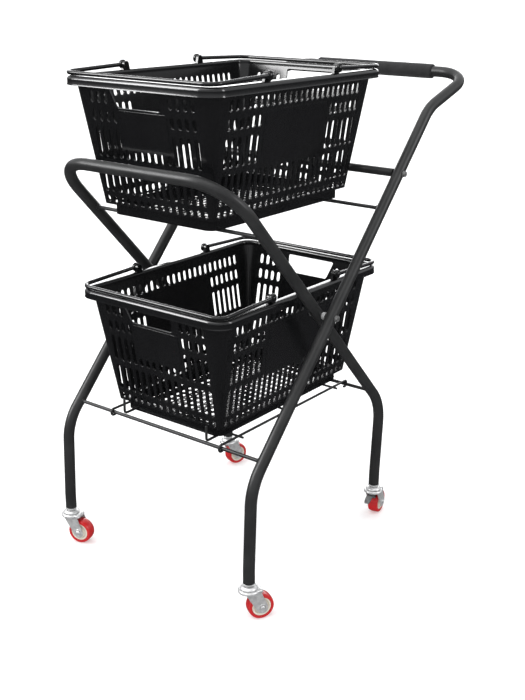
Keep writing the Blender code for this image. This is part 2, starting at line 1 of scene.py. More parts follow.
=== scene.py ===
"""Looks of the rolling basket trolley: smooth tubes, pierced baskets, bails, casters and finishes.

Every piece is built in metres in the frame's own coordinates and rides on a body of the frame.
The front of the trolley is -Y, and the user stands at +Y.
"""
import json
import math

import bmesh
import bpy
from mathutils import Matrix, Vector, noise


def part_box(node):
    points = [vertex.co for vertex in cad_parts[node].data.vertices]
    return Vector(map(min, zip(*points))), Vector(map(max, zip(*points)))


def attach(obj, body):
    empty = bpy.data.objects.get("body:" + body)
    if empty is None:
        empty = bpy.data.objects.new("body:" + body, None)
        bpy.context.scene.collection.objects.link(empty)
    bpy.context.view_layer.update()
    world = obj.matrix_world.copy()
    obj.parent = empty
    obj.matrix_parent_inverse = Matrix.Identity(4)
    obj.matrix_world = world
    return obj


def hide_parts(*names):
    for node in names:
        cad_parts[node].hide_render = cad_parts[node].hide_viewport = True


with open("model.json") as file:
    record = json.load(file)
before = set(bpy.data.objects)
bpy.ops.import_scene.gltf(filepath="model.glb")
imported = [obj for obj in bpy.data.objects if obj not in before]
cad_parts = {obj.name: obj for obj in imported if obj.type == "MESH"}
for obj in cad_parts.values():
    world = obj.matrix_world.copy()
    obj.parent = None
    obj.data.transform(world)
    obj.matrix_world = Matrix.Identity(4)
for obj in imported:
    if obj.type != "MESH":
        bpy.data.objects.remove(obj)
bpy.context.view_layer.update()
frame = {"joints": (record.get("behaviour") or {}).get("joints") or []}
JOINTS = {joint["name"]: joint for joint in frame["joints"]}
SIDES = (("left", -1), ("right", 1))
ENDS = (("front", -1), ("rear", 1))

# Frame tubes: centre lines in each side's YZ plane.
TUBE_R = 0.011
TUBE_BORE_R = 0.0098
TUBE_END_Z = 0.075
UPRIGHT_END_Z = 0.105
HANDLE_X = 0.233
HANDLE_BEND_YZ = (-0.3566, 0.2634)
HANDLE_KNEE_YZ = (0.2078, 0.869)
HANDLE_BAR_YZ = (0.3779, 0.923)
HANDLE_BEND_R = 0.10
HANDLE_KNEE_R = 0.09
HANDLE_CORNER_R = 0.07
HOOP_X = 0.2035
HOOP_BEND_YZ = (0.1232, 0.2621)
HOOP_BAR_YZ = (-0.3819, 0.7964)
HOOP_BEND_R = 0.10
HOOP_CORNER_R = 0.085
TUBE_SIDES = 36
BEND_STEPS = 14

GRIP_R = 0.015
GRIP_BORE_R = 0.0113
GRIP_EDGE_R = 0.003
GRIP_SWELL = 0.00022
BRACE_R = 0.008
BOLT_R = 0.003
BOLT_HEAD_R = 0.0058
BOLT_HEAD_T = 0.004
WASHER_R = 0.0064
WASHER_T = 0.0009
ROD_R = 0.0035
WELD_R = 0.0017
WELD_LUMPS = 0.22
HEXAGON_STEPS = 48

# Wire rack of the lower tier.
WIRE_R = 0.0025
WIRE_SIDES = 16
RAIL_X = 0.137
STOP_X = 0.104
STOP_TOP_Z = 0.335
STOP_BEND_R = 0.006
EYE_TURN = math.radians(210)
CROSS_R = 0.00225
CROSS_HALF_LENGTH = 0.143
CROSS_YS = (-0.266, -0.109, 0.048)

# Basket: half sizes of its outline, heights above its foot, and the thickness of its wall.
BASKET_HEIGHT = 0.248
FOOT_HALF = (0.119, 0.195)
FOOT_CORNER_R = 0.018
WALL_FOOT_HALF = (0.129, 0.205)
WALL_CORNER_R = (0.008, 0.024)
RIM_HALF = (0.1765, 0.2575)
RIM_CORNER_R = 0.035
FOOT_HEIGHT = 0.020
WALL_DRAFT = (0.1466, 0.1702)
SHELL_T = 0.003
RIM_DROP = 0.0165
CORNER_STEPS = 8
CORNER_POINTS = CORNER_STEPS + 1
RIM_INNER_R = 0.0045
RIM_OUTER_R = 0.0070
RIM_LEAN = 0.0008

# Slots in the walls: heights of each row, from the foot up, and of the wall strip that holds it.
SLOT_HALF_W = 0.0046
SHORT_PITCH = 0.0164
LONG_PITCH = 0.0165
ROW_BANDS = ((0.0230, 0.0405), (0.0415, 0.1020), (0.1045, 0.1645), (0.1680, 0.1955), (0.1965, 0.2385))
ROW_SLOTS = ((0.0245, 0.0368), (0.0450, 0.0985), (0.1085, 0.1605), (0.1720, 0.1925), (0.2040, 0.2245))
SHORT_MIDDLE_TOP = 0.1262
WALL_TOP = 0.2405
HANDHOLD_BOTTOM = 0.1982
HANDHOLD_TOP = 0.2350
HANDHOLD_LEFT = (-0.0570, -0.0720)
HANDHOLD_RIGHT = (0.0420, 0.0440)
HANDHOLD_CORNER_R = 0.005
HANDHOLD_MARGIN = 0.0012
FLOOR_PITCH = (0.0136, 0.0188)
FLOOR_CELLS = (17, 20)
FLOOR_HOLE_HALF = (0.0045, 0.0067)
FLOOR_HOLE_CORNER_R = 0.0022
FLOOR_T = 0.0016

# Label panels: raised blank plates in the middle of each wall, as (half width, bottom, top).
PANEL_T = 0.0008
PANEL_SUNK = 0.0005
PANEL_CORNER_R = 0.004
SHORT_PANEL = (0.0550, 0.1315, 0.1940)
LONG_PANEL = (0.0925, 0.1260, 0.1985)

# Bails: rods with an eye at each end, on pins in the lugs of the long rims.
BAIL_R = 0.00375
BAIL_X = 0.1695
BAIL_BAR_Y = 0.2505
BAIL_PIVOT_Y = 0.104
BAIL_PIVOT_RISE = 0.0087
BAIL_CORNER_R = 0.022
EYE_R = 0.0086
EYE_BORE_R = 0.0034
EYE_HALF_T = 0.0034
PIN_R = 0.003
PIN_HEAD_R = 0.0050
PIN_HEAD_DOME = 0.5
LUG_X = (0.1595, 0.1655)
LUG_HALF_Y = 0.0065

# Casters.  Local X runs from the stem axis towards the wheel, local Z up.
HUB_R = 0.0182
WHEEL_HALF_W = 0.011
AXLE_R = 0.003
CHEEK_Y = (0.013, 0.015)
CHEEK_END_R = 0.0108
CHEEK_FRONT = -0.0125
CROWN_R = 0.0203
# From the crown's lip inwards, as (share of its outline, height).
CROWN_SECTION = (
    (1.0, 0.0578), (1.0, 0.0592), (0.985, 0.0606), (0.95, 0.0618), (0.90, 0.0626), (0.84, 0.0630),
    (0.60, 0.0631), (0.22, 0.0631))
CROWN_TAIL = 0.0240
CROWN_TAIL_R = 0.0060
SHEET_T = 0.0018
STEM_R = 0.0055
PEDAL_PIN_R = 0.0016
PEDAL_HALF_W = (0.0066, 0.0070)
TOE_X = (-0.0250, -0.0362)
TOE_ROUNDING = 0.80
BALL_COUNT = 14
BALL_R = 0.0014
BALL_CIRCLE_R = 0.0128
BALL_Z = 0.0648
CASTER_NAMES = ("front_left", "front_right", "rear_left", "rear_right")

# Camera: angles in degrees, lengths in metres, the lens in millimetres on a 36 mm sensor.
CAMERA_AZIMUTH = 37.19
CAMERA_ELEVATION = 19.72
CAMERA_ROLL = 0.494
CAMERA_DISTANCE = 2.1892
CAMERA_TARGET = (0, -0.0204, 0.3749)
CAMERA_SENSOR = 36
CAMERA_LENS = 71.8766


# ---------------------------------------------------------------- mesh helpers

def arc(centre, radius, start, turn, steps):
    """Points of an arc, from the start angle through the turn, both in radians."""
    points = []
    for step in range(steps + 1):
        angle = start + turn * step / steps
        points.append((centre[0] + radius * math.cos(angle), centre[1] + radius * math.sin(angle)))
    return points


def rounded_path(corners, radii, steps=BEND_STEPS):
    """Points along a polyline whose inner corners are arcs; a radius of 0 keeps the corner."""
    path = [Vector(corners[0])]
    for index, radius in enumerate(radii):
        before, corner, after = (Vector(p) for p in corners[index:index + 3])
        if radius == 0:
            path.append(corner)
            continue
        into = (corner - before).normalized()
        out = (after - corner).normalized()
        turn = into.angle(out)
        start = corner - into * radius * math.tan(turn / 2)
        centre = start + (out - into * into.dot(out)).normalized() * radius
        axis = into.cross(out)
        for step in range(steps + 1):
            spin = Matrix.Rotation(turn * step / steps, 3, axis)
            path.append(centre + spin @ (start - centre))
    path.append(Vector(corners[-1]))
    return path


def ring_of(bm, centre, normal, side, radius, count):
    """A circle of vertices in the plane spanned by two unit vectors."""
    ring = []
    for index in range(count):
        angle = 2 * math.pi * index / count
        ring.append(bm.verts.new(centre + (normal * math.cos(angle) + side * math.sin(angle)) * radius))
    return ring


def join_rings(bm, first, second):
    """Faces between two rings with the same number of vertices."""
    for index in range(len(first)):
        following = (index + 1) % len(first)
        bm.faces.new((first[index], first[following], second[following], second[index]))


def path_frames(path):
    """Point, normal and side vector at each point of a path, without twist."""
    frames = []
    normal = None
    tangent = None
    for index, point in enumerate(path):
        ahead = path[min(index + 1, len(path) - 1)]
        behind = path[max(index - 1, 0)]
        new_tangent = (ahead - behind).normalized()
        if normal is None:
            upright = Vector((1, 0, 0)) if abs(new_tangent.x) < 0.9 else Vector((0, 0, 1))
            normal = (upright - new_tangent * upright.dot(new_tangent)).normalized()
        else:
            normal = tangent.rotation_difference(new_tangent) @ normal
        tangent = new_tangent
        frames.append((point, normal, tangent.cross(normal), tangent))
    return frames


def sweep(bm, path, radius, sides, bore=0.0, dome=0.0):
    """Carry a round section along a path; a bore makes it a tube, a dome rounds its ends."""
    frames = path_frames(path)
    outer = [ring_of(bm, point, normal, side, radius, sides) for point, normal, side, _ in frames]
    for first, second in zip(outer, outer[1:]):
        join_rings(bm, first, second)
    if bore:
        inner = [ring_of(bm, point, normal, side, bore, sides) for point, normal, side, _ in frames]
        for first, second in zip(inner, inner[1:]):
            join_rings(bm, second, first)
        join_rings(bm, inner[0], outer[0])
        join_rings(bm, outer[-1], inner[-1])
        return
    ends = ((frames[0], outer[0], -1), (frames[-1], outer[-1], 1))
    for (point, normal, side, tangent), ring, sense in ends:
        for step in range(1, 4):
            angle = math.pi / 2 * step / 4
            centre = point + tangent * sense * dome * math.sin(angle)
            cap = ring_of(bm, centre, normal, side, radius * math.cos(angle), sides)
            join_rings(bm, ring, cap)
            ring = cap
        bm.faces.new(ring)


def revolve(bm, profile, segments, axis="Z", centre=(0, 0, 0), closed=True):
    """Turn (radius, height) points about an axis; an open profile ends on the axis."""
    frames = {
        "X": (Vector((0, 1, 0)), Vector((0, 0, 1)), Vector((1, 0, 0))),
        "Y": (Vector((0, 0, 1)), Vector((1, 0, 0)), Vector((0, 1, 0))),
        "Z": (Vector((1, 0, 0)), Vector((0, 1, 0)), Vector((0, 0, 1))),
    }
    normal, side, along = frames[axis]
    middle = Vector(centre)
    rings = [ring_of(bm, middle + along * h, normal, side, r, segments) for r, h in profile]
    for first, second in zip(rings, rings[1:]):
        join_rings(bm, first, second)
    if closed:
        join_rings(bm, rings[-1], rings[0])
    else:
        bm.faces.new(rings[0][::-1])
        bm.faces.new(rings[-1])


def softened(profile, radius, steps=4, closed=True):
    """A (radius, height) profile whose corners are rounded; ends of an open one stay."""
    count = len(profile)
    result = []
    for index, corner in enumerate(profile):
        if not closed and index in (0, count - 1):
            result.append(corner)
            continue
        here = Vector(corner)
        before = Vector(profile[index - 1]) - here
        after = Vector(profile[(index + 1) % count]) - here
        reach = min(radius, before.length * 0.45, after.length * 0.45)
        start = here + before.normalized() * reach
        stop = here + after.normalized() * reach
        for step in range(steps + 1):
            t = step / steps
            point = start * (1 - t) ** 2 + here * 2 * t * (1 - t) + stop * t ** 2
            result.append(tuple(point))
    return result


def prism(bm, outline, start, stop, place):
    """A flat outline extruded from start to stop; place(u, v, w) gives the 3-D point."""
    low = [bm.verts.new(place(u, v, start)) for u, v in outline]
    high = [bm.verts.new(place(u, v, stop)) for u, v in outline]
    join_rings(bm, low, high)
    bm.faces.new(low[::-1])
    bm.faces.new(high)


def rounded_rectangle(half_x, half_y, radius, steps=CORNER_STEPS):
    """Outline of a rectangle with round corners, anticlockwise from the +X +Y corner."""
    outline = []
    corners = ((1, 1, 0), (-1, 1, 90), (-1, -1, 180), (1, -1, 270))
    for sign_x, sign_y, start in corners:
        centre = (sign_x * (half_x - radius), sign_y * (half_y - radius))
        outline += arc(centre, radius, math.radians(start), math.pi / 2, steps)
    return outline


def solid_from(name, build):
    """An object without a finish, from a function that fills a bmesh."""
    bm = bmesh.new()
    build(bm)
    bmesh.ops.recalc_face_normals(bm, faces=bm.faces)
    mesh = bpy.data.meshes.new(name)
    bm.to_mesh(mesh)
    bm.free()
    mesh.shade_smooth()
    obj = bpy.data.objects.new(name, mesh)
    bpy.context.scene.collection.objects.link(obj)
    return obj


def apply_modifiers(obj):
    """Replace the object's mesh with what its modifiers make of it."""
    evaluated = obj.evaluated_get(bpy.context.evaluated_depsgraph_get())
    mesh = bpy.data.meshes.new_from_object(evaluated)
    obj.modifiers.clear()
    obj.data = mesh


def unite(obj, build):
    """Join another shape to this one with an exact Boolean."""
    other = solid_from(f"{obj.name}_tool", build)
    boolean = obj.modifiers.new("unite", "BOOLEAN")
    boolean.operation = "UNION"
    boolean.solver = "EXACT"
    boolean.object = other
    apply_modifiers(obj)
    bpy.data.objects.remove(other)


def soften_edges(obj, width, segments=2, angle=30):
    """Round the object's sharp edges a little."""
    bevel = obj.modifiers.new("soft edges", "BEVEL")
    bevel.width = width
    bevel.segments = segments
    bevel.limit_method = "ANGLE"
    bevel.angle_limit = math.radians(angle)
    bevel.harden_normals = True
    bevel.use_clamp_overlap = True
    apply_modifiers(obj)


def finish_piece(obj, slot, body, replaced=(), matrix=None, sharp=38):
    """Shade the piece, give it its finish and put it on its body."""
    if not obj.data.has_custom_normals:
        obj.data.set_sharp_from_angle(angle=math.radians(sharp))
    obj.data.materials.clear()
    obj.data.materials.append(MATERIALS[slot])
    if matrix is not None:
        obj.matrix_world = matrix
    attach(obj, body)
    if replaced:
        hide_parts(*replaced)


def piece(name, build, slot, body, replaced=(), matrix=None, bevel=0.0, sharp=38):
    """A finished piece from a function that fills a bmesh."""
    obj = solid_from(name, build)
    if bevel:
        soften_edges(obj, bevel)
    finish_piece(obj, slot, body, replaced, matrix, sharp)


# ---------------------------------------------------------------- materials

def new_material(name):
    """A Principled material with its shader and object coordinates."""
    material = bpy.data.materials.new(name)
    material.use_nodes = True
    nodes = material.node_tree.nodes
    coords = nodes.new("ShaderNodeTexCoord")
    return material, nodes, material.node_tree.links, nodes["Principled BSDF"], coords.outputs["Object"]


def noise_node(nodes, links, coords, scale, detail=3.0, stretch=None):
    """A noise texture in object coordinates, stretched along an axis if asked."""
    texture = nodes.new("ShaderNodeTexNoise")
    texture.inputs["Scale"].default_value = scale
    texture.inputs["Detail"].default_value = detail
    if stretch:
        mapping = nodes.new("ShaderNodeMapping")
        mapping.inputs["Scale"].default_value = stretch
        links.new(coords, mapping.inputs["Vector"])
        coords = mapping.outputs["Vector"]
    links.new(coords, texture.inputs["Vector"])
    return texture.outputs["Fac"]


def ramp_node(nodes, links, factor, stops):
    """A colour ramp over a factor; stops are (position, colour)."""
    ramp = nodes.new("ShaderNodeValToRGB")
    elements = ramp.color_ramp.elements
    while len(elements) < len(stops):
        elements.new(0.5)
    for element, (position, colour) in zip(elements, stops):
        element.position = position
        element.color = (*colour, 1)
    links.new(factor, ramp.inputs["Fac"])
    return ramp.outputs["Color"]


def range_node(nodes, links, factor, low, high):
    """Map a 0 to 1 factor to a range of values."""
    mapped = nodes.new("ShaderNodeMapRange")
    mapped.inputs["To Min"].default_value = low
    mapped.inputs["To Max"].default_value = high
    links.new(factor, mapped.inputs["Value"])
    return mapped.outputs["Result"]


def bump_node(nodes, links, shader, height, distance, strength=1.0):
    """Drive the shader's normal with a height."""
    bump = nodes.new("ShaderNodeBump")
    bump.inputs["Distance"].default_value = distance
    bump.inputs["Strength"].default_value = strength
    links.new(height, bump.inputs["Height"])
    links.new(bump.outputs["Normal"], shader.inputs["Normal"])


def powder_coat():
    """Satin black powder coat: fine orange peel and slightly uneven gloss."""
    material, nodes, links, shader, coords = new_material("black_powder_coat")
    fine = noise_node(nodes, links, coords, 750, 2)
    broad = noise_node(nodes, links, coords, 22, 3)
    colour = ramp_node(nodes, links, broad, (
        (0.3, (0.0175, 0.0178, 0.0180)), (0.7, (0.0270, 0.0273, 0.0276))))
    links.new(colour, shader.inputs["Base Color"])
    links.new(range_node(nodes, links, broad, 0.30, 0.42), shader.inputs["Roughness"])
    shader.inputs["Specular IOR Level"].default_value = 0.22
    bump_node(nodes, links, shader, fine, 0.00012, 0.8)
    return material


def zinc_plate(name, dark, light, roughness):
    """Zinc plating with faint drawing marks and spangle."""
    material, nodes, links, shader, coords = new_material(name)
    marks = noise_node(nodes, links, coords, 500, 3, (1.0, 1.0, 0.08))
    spangle = noise_node(nodes, links, coords, 160, 4)
    colour = ramp_node(nodes, links, spangle, ((0.25, (dark,) * 3), (0.75, (light,) * 3)))
    links.new(colour, shader.inputs["Base Color"])
    links.new(range_node(nodes, links, spangle, *roughness), shader.inputs["Roughness"])
    shader.inputs["Metallic"].default_value = 0.5
    bump_node(nodes, links, shader, marks, 0.00003, 0.5)
    return material


def foam_grip():
    """Matt black foam sleeve with an open-cell skin."""
    material, nodes, links, shader, coords = new_material("foam_grip")
    cells = nodes.new("ShaderNodeTexVoronoi")
    cells.inputs["Scale"].default_value = 1300
    links.new(coords, cells.inputs["Vector"])
    broad = noise_node(nodes, links, coords, 60, 3)
    colour = ramp_node(nodes, links, broad, ((0.3, (0.010, 0.010, 0.011)), (0.7, (0.020, 0.020, 0.021))))
    links.new(colour, shader.inputs["Base Color"])
    shader.inputs["Roughness"].default_value = 0.82
    shader.inputs["Specular IOR Level"].default_value = 0.25
    shader.inputs["Sheen Weight"].default_value = 0.12
    shader.inputs["Sheen Roughness"].default_value = 0.5
    bump_node(nodes, links, shader, cells.outputs["Distance"], 0.00025, 0.7)
    return material


def moulded_plastic(name, dark, light, roughness, specular, texture_scale, texture_depth):
    """Moulded plastic: near-even colour, faint flow marks and a fine surface texture."""
    material, nodes, links, shader, coords = new_material(name)
    flow = noise_node(nodes, links, coords, 9, 4, (1.0, 1.0, 0.35))
    fine = noise_node(nodes, links, coords, texture_scale, 2)
    links.new(ramp_node(nodes, links, flow, ((0.3, dark), (0.7, light))), shader.inputs["Base Color"])
    links.new(range_node(nodes, links, flow, *roughness), shader.inputs["Roughness"])
    shader.inputs["Specular IOR Level"].default_value = specular
    bump_node(nodes, links, shader, fine, texture_depth, 0.5)
    return material


def build_materials():
    black = ((0.0045, 0.0046, 0.0050), (0.0075, 0.0077, 0.0082))
    return {
        "black_powder_coat": powder_coat(),
        "bright_zinc": zinc_plate("bright_zinc", 0.50, 0.74, (0.26, 0.40)),
        # The same zinc made dark and a little rougher: its darkness is painted shade on the bolts, nuts
        # and brake levers
        "zinc_in_painted_shade": zinc_plate("zinc_in_painted_shade", 0.10, 0.20, (0.42, 0.56)),
        "foam_grip": foam_grip(),
        "basket_plastic": moulded_plastic("basket_plastic", *black, (0.12, 0.20), 0.42, 700, 0.00003),
        "bail_plastic": moulded_plastic("bail_plastic", *black, (0.18, 0.26), 0.35, 500, 0.00002),
        "hub_plastic": moulded_plastic(
            "hub_plastic", (0.66, 0.61, 0.50), (0.82, 0.78, 0.68), (0.36, 0.50), 0.45, 400, 0.00004),
        "red_tread": moulded_plastic(
            "red_tread", (0.46, 0.008, 0.010), (0.60, 0.018, 0.020), (0.24, 0.36), 0.45, 300, 0.00006),
    }


# ---------------------------------------------------------------- frames

def joint_place(name):
    return Vector(JOINTS[name]["pos_m"])


def box_middle(node):
    low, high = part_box(node)
    return (low + high) / 2


def bent_frame(x, leg_y, side_points, side_radii, bar_yz, corner_r):
    """The centre line of a frame: up one side, across its bar and down the other side."""
    up = [(x, leg_y, TUBE_END_Z), (x, leg_y, UPRIGHT_END_Z)]
    up += [(x, y, z) for y, z in side_points] + [(x, *bar_yz)]
    down = [(-px, py, pz) for px, py, pz in reversed(up)]
    radii = [0, *side_radii, corner_r, corner_r, *reversed(side_radii), 0]
    return rounded_path(up + down, radii)


def build_frames():
    handle = bent_frame(
        HANDLE_X, joint_place("front_left_swivel").y, (HANDLE_BEND_YZ, HANDLE_KNEE_YZ),
        (HANDLE_BEND_R, HANDLE_KNEE_R), HANDLE_BAR_YZ, HANDLE_CORNER_R)
    hoop = bent_frame(
        HOOP_X, joint_place("rear_left_swivel").y, (HOOP_BEND_YZ,),
        (HOOP_BEND_R,), HOOP_BAR_YZ, HOOP_CORNER_R)
    for name, path in (("handle_frame", handle), ("front_hoop_frame", hoop)):
        piece(f"{name}_tube", lambda bm, p=path: sweep(bm, p, TUBE_R, TUBE_SIDES, TUBE_BORE_R),
              "black_powder_coat", "frame", (name,))


def build_grip():
    """A foam sleeve with rolled ends and a slightly uneven skin."""
    low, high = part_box("handle_grip")
    half = (high.x - low.x) / 2
    middle = (low + high) / 2
    edge = GRIP_EDGE_R
    steps = 120

    def shape(bm):
        outer = []
        for step in range(steps + 1):
            along = -half + edge + (2 * half - 2 * edge) * step / steps
            outer.append((GRIP_R, along))
        rolled_start = arc((GRIP_R - edge, -half + edge), edge, -math.pi / 2, math.pi / 2, 6)[:-1]
        rolled_end = arc((GRIP_R - edge, half - edge), edge, 0, math.pi / 2, 6)[1:]
        profile = [(GRIP_BORE_R, -half)] + rolled_start + outer + rolled_end + [(GRIP_BORE_R, half)]
        revolve(bm, profile, 48, "X", middle)
        for vert in bm.verts:
            offset = Vector((0, vert.co.y - middle.y, vert.co.z - middle.z))
            if offset.length > GRIP_R - edge:
                vert.co += offset.normalized() * GRIP_SWELL * noise.noise(vert.co * 55)

    piece("handle_grip_foam", shape, "foam_grip", "frame", ("handle_grip",))


def build_brace():
    low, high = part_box("brace_bar")
    half = (high.x - low.x) / 2
    middle = (low + high) / 2
    profile = softened(
        ((BOLT_R, -half), (BRACE_R, -half), (BRACE_R, half), (BOLT_R, half)), 0.0008)
    piece("brace_tube", lambda bm: revolve(bm, profile, 32, "X", middle), "black_powder_coat", "frame",
          ("brace_bar",))


def chamfered_hexagon(bm, corner_r, bore, start, stop, both_ends=False):
    """A hex head or nut along X whose outer corners are turned down, as a real one's are."""
    flat_r = corner_r * math.cos(math.pi / 6)
    sense = 1 if stop > start else -1
    rings = []

    def ring(height_of, radius_of):
        verts = []
        for index in range(HEXAGON_STEPS):
            angle = 2 * math.pi * index / HEXAGON_STEPS
            radius = radius_of(angle)
            height = height_of(radius)
            verts.append(bm.verts.new((height, radius * math.cos(angle), radius * math.sin(angle))))
        rings.append(verts)

    def side_r(angle):
        turn = angle % (math.pi / 3) - math.pi / 6
        return flat_r / math.cos(turn)

    slope = math.tan(math.radians(30))
    ring(lambda r: start, lambda a: bore)
    if both_ends:
        ring(lambda r: start, lambda a: flat_r)
        ring(lambda r: start + sense * (r - flat_r) * slope, side_r)
    else:
        ring(lambda r: start, side_r)
    ring(lambda r: stop - sense * (r - flat_r) * slope, side_r)
    ring(lambda r: stop, lambda a: flat_r)
    ring(lambda r: stop, lambda a: bore)
    for first, second in zip(rings, rings[1:]):
        join_rings(bm, first, second)
    join_rings(bm, rings[-1], rings[0])


def build_bolt(word, side, kind, inner_end):
    """A hex bolt with its washer and shank, its head outside the handle tube."""
    centre = box_middle(f"{kind}_bolt_{word}")
    place = Matrix.Translation((0, centre.y, centre.z))
    seat = HANDLE_X + TUBE_R

    def shape(bm):
        chamfered_hexagon(
            bm, BOLT_HEAD_R, 0.0008, side * (seat + WASHER_T), side * (seat + WASHER_T + BOLT_HEAD_T))
        shank = ((BOLT_R, inner_end), (BOLT_R, seat + 0.002))
        revolve(bm, [(r, side * x) for r, x in shank], 24, "X", closed=False)
        washer_top = seat + WASHER_T
        washer = softened((
            (BOLT_R, seat), (WASHER_R, seat), (WASHER_R, washer_top), (BOLT_R, washer_top)), 0.0003, 2)
        revolve(bm, [(r, side * x) for r, x in washer], 32, "X")

    # Bolt head, washer and shank take the darkened zinc copy: their dark tone is painted shade
    piece(f"{kind}_hex_bolt_{word}", shape, "zinc_in_painted_shade", "frame", (f"{kind}_bolt_{word}",), place)


def build_pivots_and_bolts():
    pivot_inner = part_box("pivot_nut_right")[0].x - 0.0025
    brace_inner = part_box("brace_bolt_right")[0].x
    for word, side in SIDES:
        build_bolt(word, side, "pivot", pivot_inner)
        build_bolt(word, side, "brace", brace_inner)
        low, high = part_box(f"pivot_nut_{word}")
        centre = (low + high) / 2
        place = Matrix.Translation((0, centre.y, centre.z))
        inner, outer = (low.x, high.x) if side > 0 else (high.x, low.x)
        # The nut takes the darkened zinc copy: its dark tone is painted shade
        piece(f"pivot_hex_nut_{word}",
              lambda bm, a=inner, b=outer: chamfered_hexagon(bm, BOLT_HEAD_R, BOLT_R, b, a, True),
              "zinc_in_painted_shade", "frame", (f"pivot_nut_{word}",), place)
        low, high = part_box(f"pivot_spacer_{word}")
        radius = (high.z - low.z) / 2
        profile = softened(((BOLT_R, low.x), (radius, low.x), (radius, high.x), (BOLT_R, high.x)), 0.0006)
        piece(f"pivot_bush_{word}", lambda bm, p=profile: revolve(bm, p, 32, "X"), "bright_zinc", "frame",
              (f"pivot_spacer_{word}",), place)


def weld_bead(bm, centre, axis, radius, count=28):
    """A lumpy ring of weld round a rod that meets another at right angles."""
    normal = axis.orthogonal().normalized()
    side = axis.cross(normal)
    rings = []
    for index in range(count):
        angle = 2 * math.pi * index / count
        out = normal * math.cos(angle) + side * math.sin(angle)
        lump = WELD_R * (1 + WELD_LUMPS * noise.noise((centre + out * 0.02) * 300))
        middle = centre + out * radius
        rings.append(ring_of(bm, middle, out, axis, lump, 8))
    for index, ring in enumerate(rings):
        join_rings(bm, ring, rings[(index + 1) % count])


def build_rods():
    """The four cross rods, and the weld beads where they meet the tubes."""
    across = Vector((1, 0, 0))
    ends = []
    for name in ("upper_front_rod", "upper_rear_rod", "lower_front_rod", "lower_rear_rod"):
        low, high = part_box(name)
        middle = (low + high) / 2
        path = [Vector((x, middle.y, middle.z)) for x in (low.x, high.x)]
        piece(f"{name}_bar", lambda bm, p=path: sweep(bm, p, ROD_R, 24),
              "black_powder_coat", "frame", (name,))
        ends += [point + across * 0.0006 * (1 if point.x > 0 else -1) for point in path]

    def beads(bm):
        for point in ends:
            weld_bead(bm, point, across, ROD_R + 0.0004)

    piece("rod_weld_beads", beads, "black_powder_coat", "frame")


def build_rack():
    """Side rails with an eye round each rod, basket stops, cross wires and their spot welds."""
    front = box_middle("lower_front_rod")
    rear = box_middle("lower_rear_rod")
    eye_r = ROD_R + 0.0003 + WIRE_R
    wire_z = front.z + eye_r
    cross_z = wire_z - WIRE_R - CROSS_R + 0.001

    def rail_path(x):
        start = arc((front.y, front.z), eye_r, math.pi / 2 + EYE_TURN, -EYE_TURN, 20)
        stop = arc((rear.y, rear.z), eye_r, math.pi / 2, -EYE_TURN, 20)
        return [Vector((x, y, z)) for y, z in start + stop]

    def stop_path(x):
        turn_y = front.y - 0.0029
        corners = ((x, rear.y + 0.006, wire_z), (x, turn_y, wire_z), (x, turn_y, STOP_TOP_Z))
        return rounded_path(corners, (STOP_BEND_R,), 8)

    def wires(bm):
        for _, side in SIDES:
            sweep(bm, rail_path(side * RAIL_X), WIRE_R, WIRE_SIDES, dome=0.0008)
            sweep(bm, stop_path(side * STOP_X), WIRE_R, WIRE_SIDES, dome=0.0012)
        for y in CROSS_YS:
            ends = [Vector((x, y, cross_z)) for x in (-CROSS_HALF_LENGTH, CROSS_HALF_LENGTH)]
            sweep(bm, ends, CROSS_R, WIRE_SIDES, dome=0.0008)

    def nuggets(bm):
        for x in (-RAIL_X, -STOP_X, STOP_X, RAIL_X):
            for y in CROSS_YS:
                centre = Vector((x, y, (wire_z - WIRE_R + cross_z + CROSS_R) / 2))
                profile = arc((0, 0), 0.0026, -math.pi * 0.42, math.pi * 0.84, 8)
                revolve(bm, [(r, z * 0.55) for r, z in profile], 14, "Z", centre, closed=False)

    piece("lower_wire_rack", wires, "black_powder_coat", "frame", ("lower_rack",))
    piece("rack_spot_welds", nuggets, "black_powder_coat", "frame")


# ---------------------------------------------------------------- baskets

# Each wall's direction along, direction out and axis, in the order of the outline's sides.
WALL_DIRECTIONS = (
    (Vector((-1, 0, 0)), Vector((0, 1, 0)), 1), (Vector((0, -1, 0)), Vector((-1, 0, 0)), 0),
    (Vector((1, 0, 0)), Vector((0, -1, 0)), 1), (Vector((0, 1, 0)), Vector((1, 0, 0)), 0))


def stadium(middle, low, high, half_width, steps=5):
    """An upright slot with round ends, anticlockwise."""
    top = arc((middle, high - half_width), half_width, 0, math.pi, steps)
    bottom = arc((middle, low + half_width), half_width, math.pi, math.pi, steps)
    return top + bottom


def handhold_outline():
    """The grip opening under a short rim; its left end slants."""
    corners = [
        (HANDHOLD_LEFT[0], HANDHOLD_BOTTOM), (HANDHOLD_RIGHT[0], HANDHOLD_BOTTOM),
        (HANDHOLD_RIGHT[1], HANDHOLD_TOP), (HANDHOLD_LEFT[1], HANDHOLD_TOP)]
    return softened(corners, HANDHOLD_CORNER_R, 4)


def pierced_face(bm, corners, hole):
    """Fill the space between four corners and a convex hole, both anticlockwise in (u, v)."""
    outline = [point for point, _ in hole]
    nearest = []
    for (u, v), _ in corners:
        gaps = [(u - hu) ** 2 + (v - hv) ** 2 for hu, hv in outline]
        nearest.append(gaps.index(min(gaps)))
    for index in range(4):
        following = (index + 1) % 4
        start, stop = nearest[index], nearest[following]
        if stop < start:
            stop += len(hole)
        chain = [hole[step % len(hole)][1] for step in range(start, stop + 1)]
        bm.faces.new([corners[index][1], corners[following][1], *reversed(chain)])


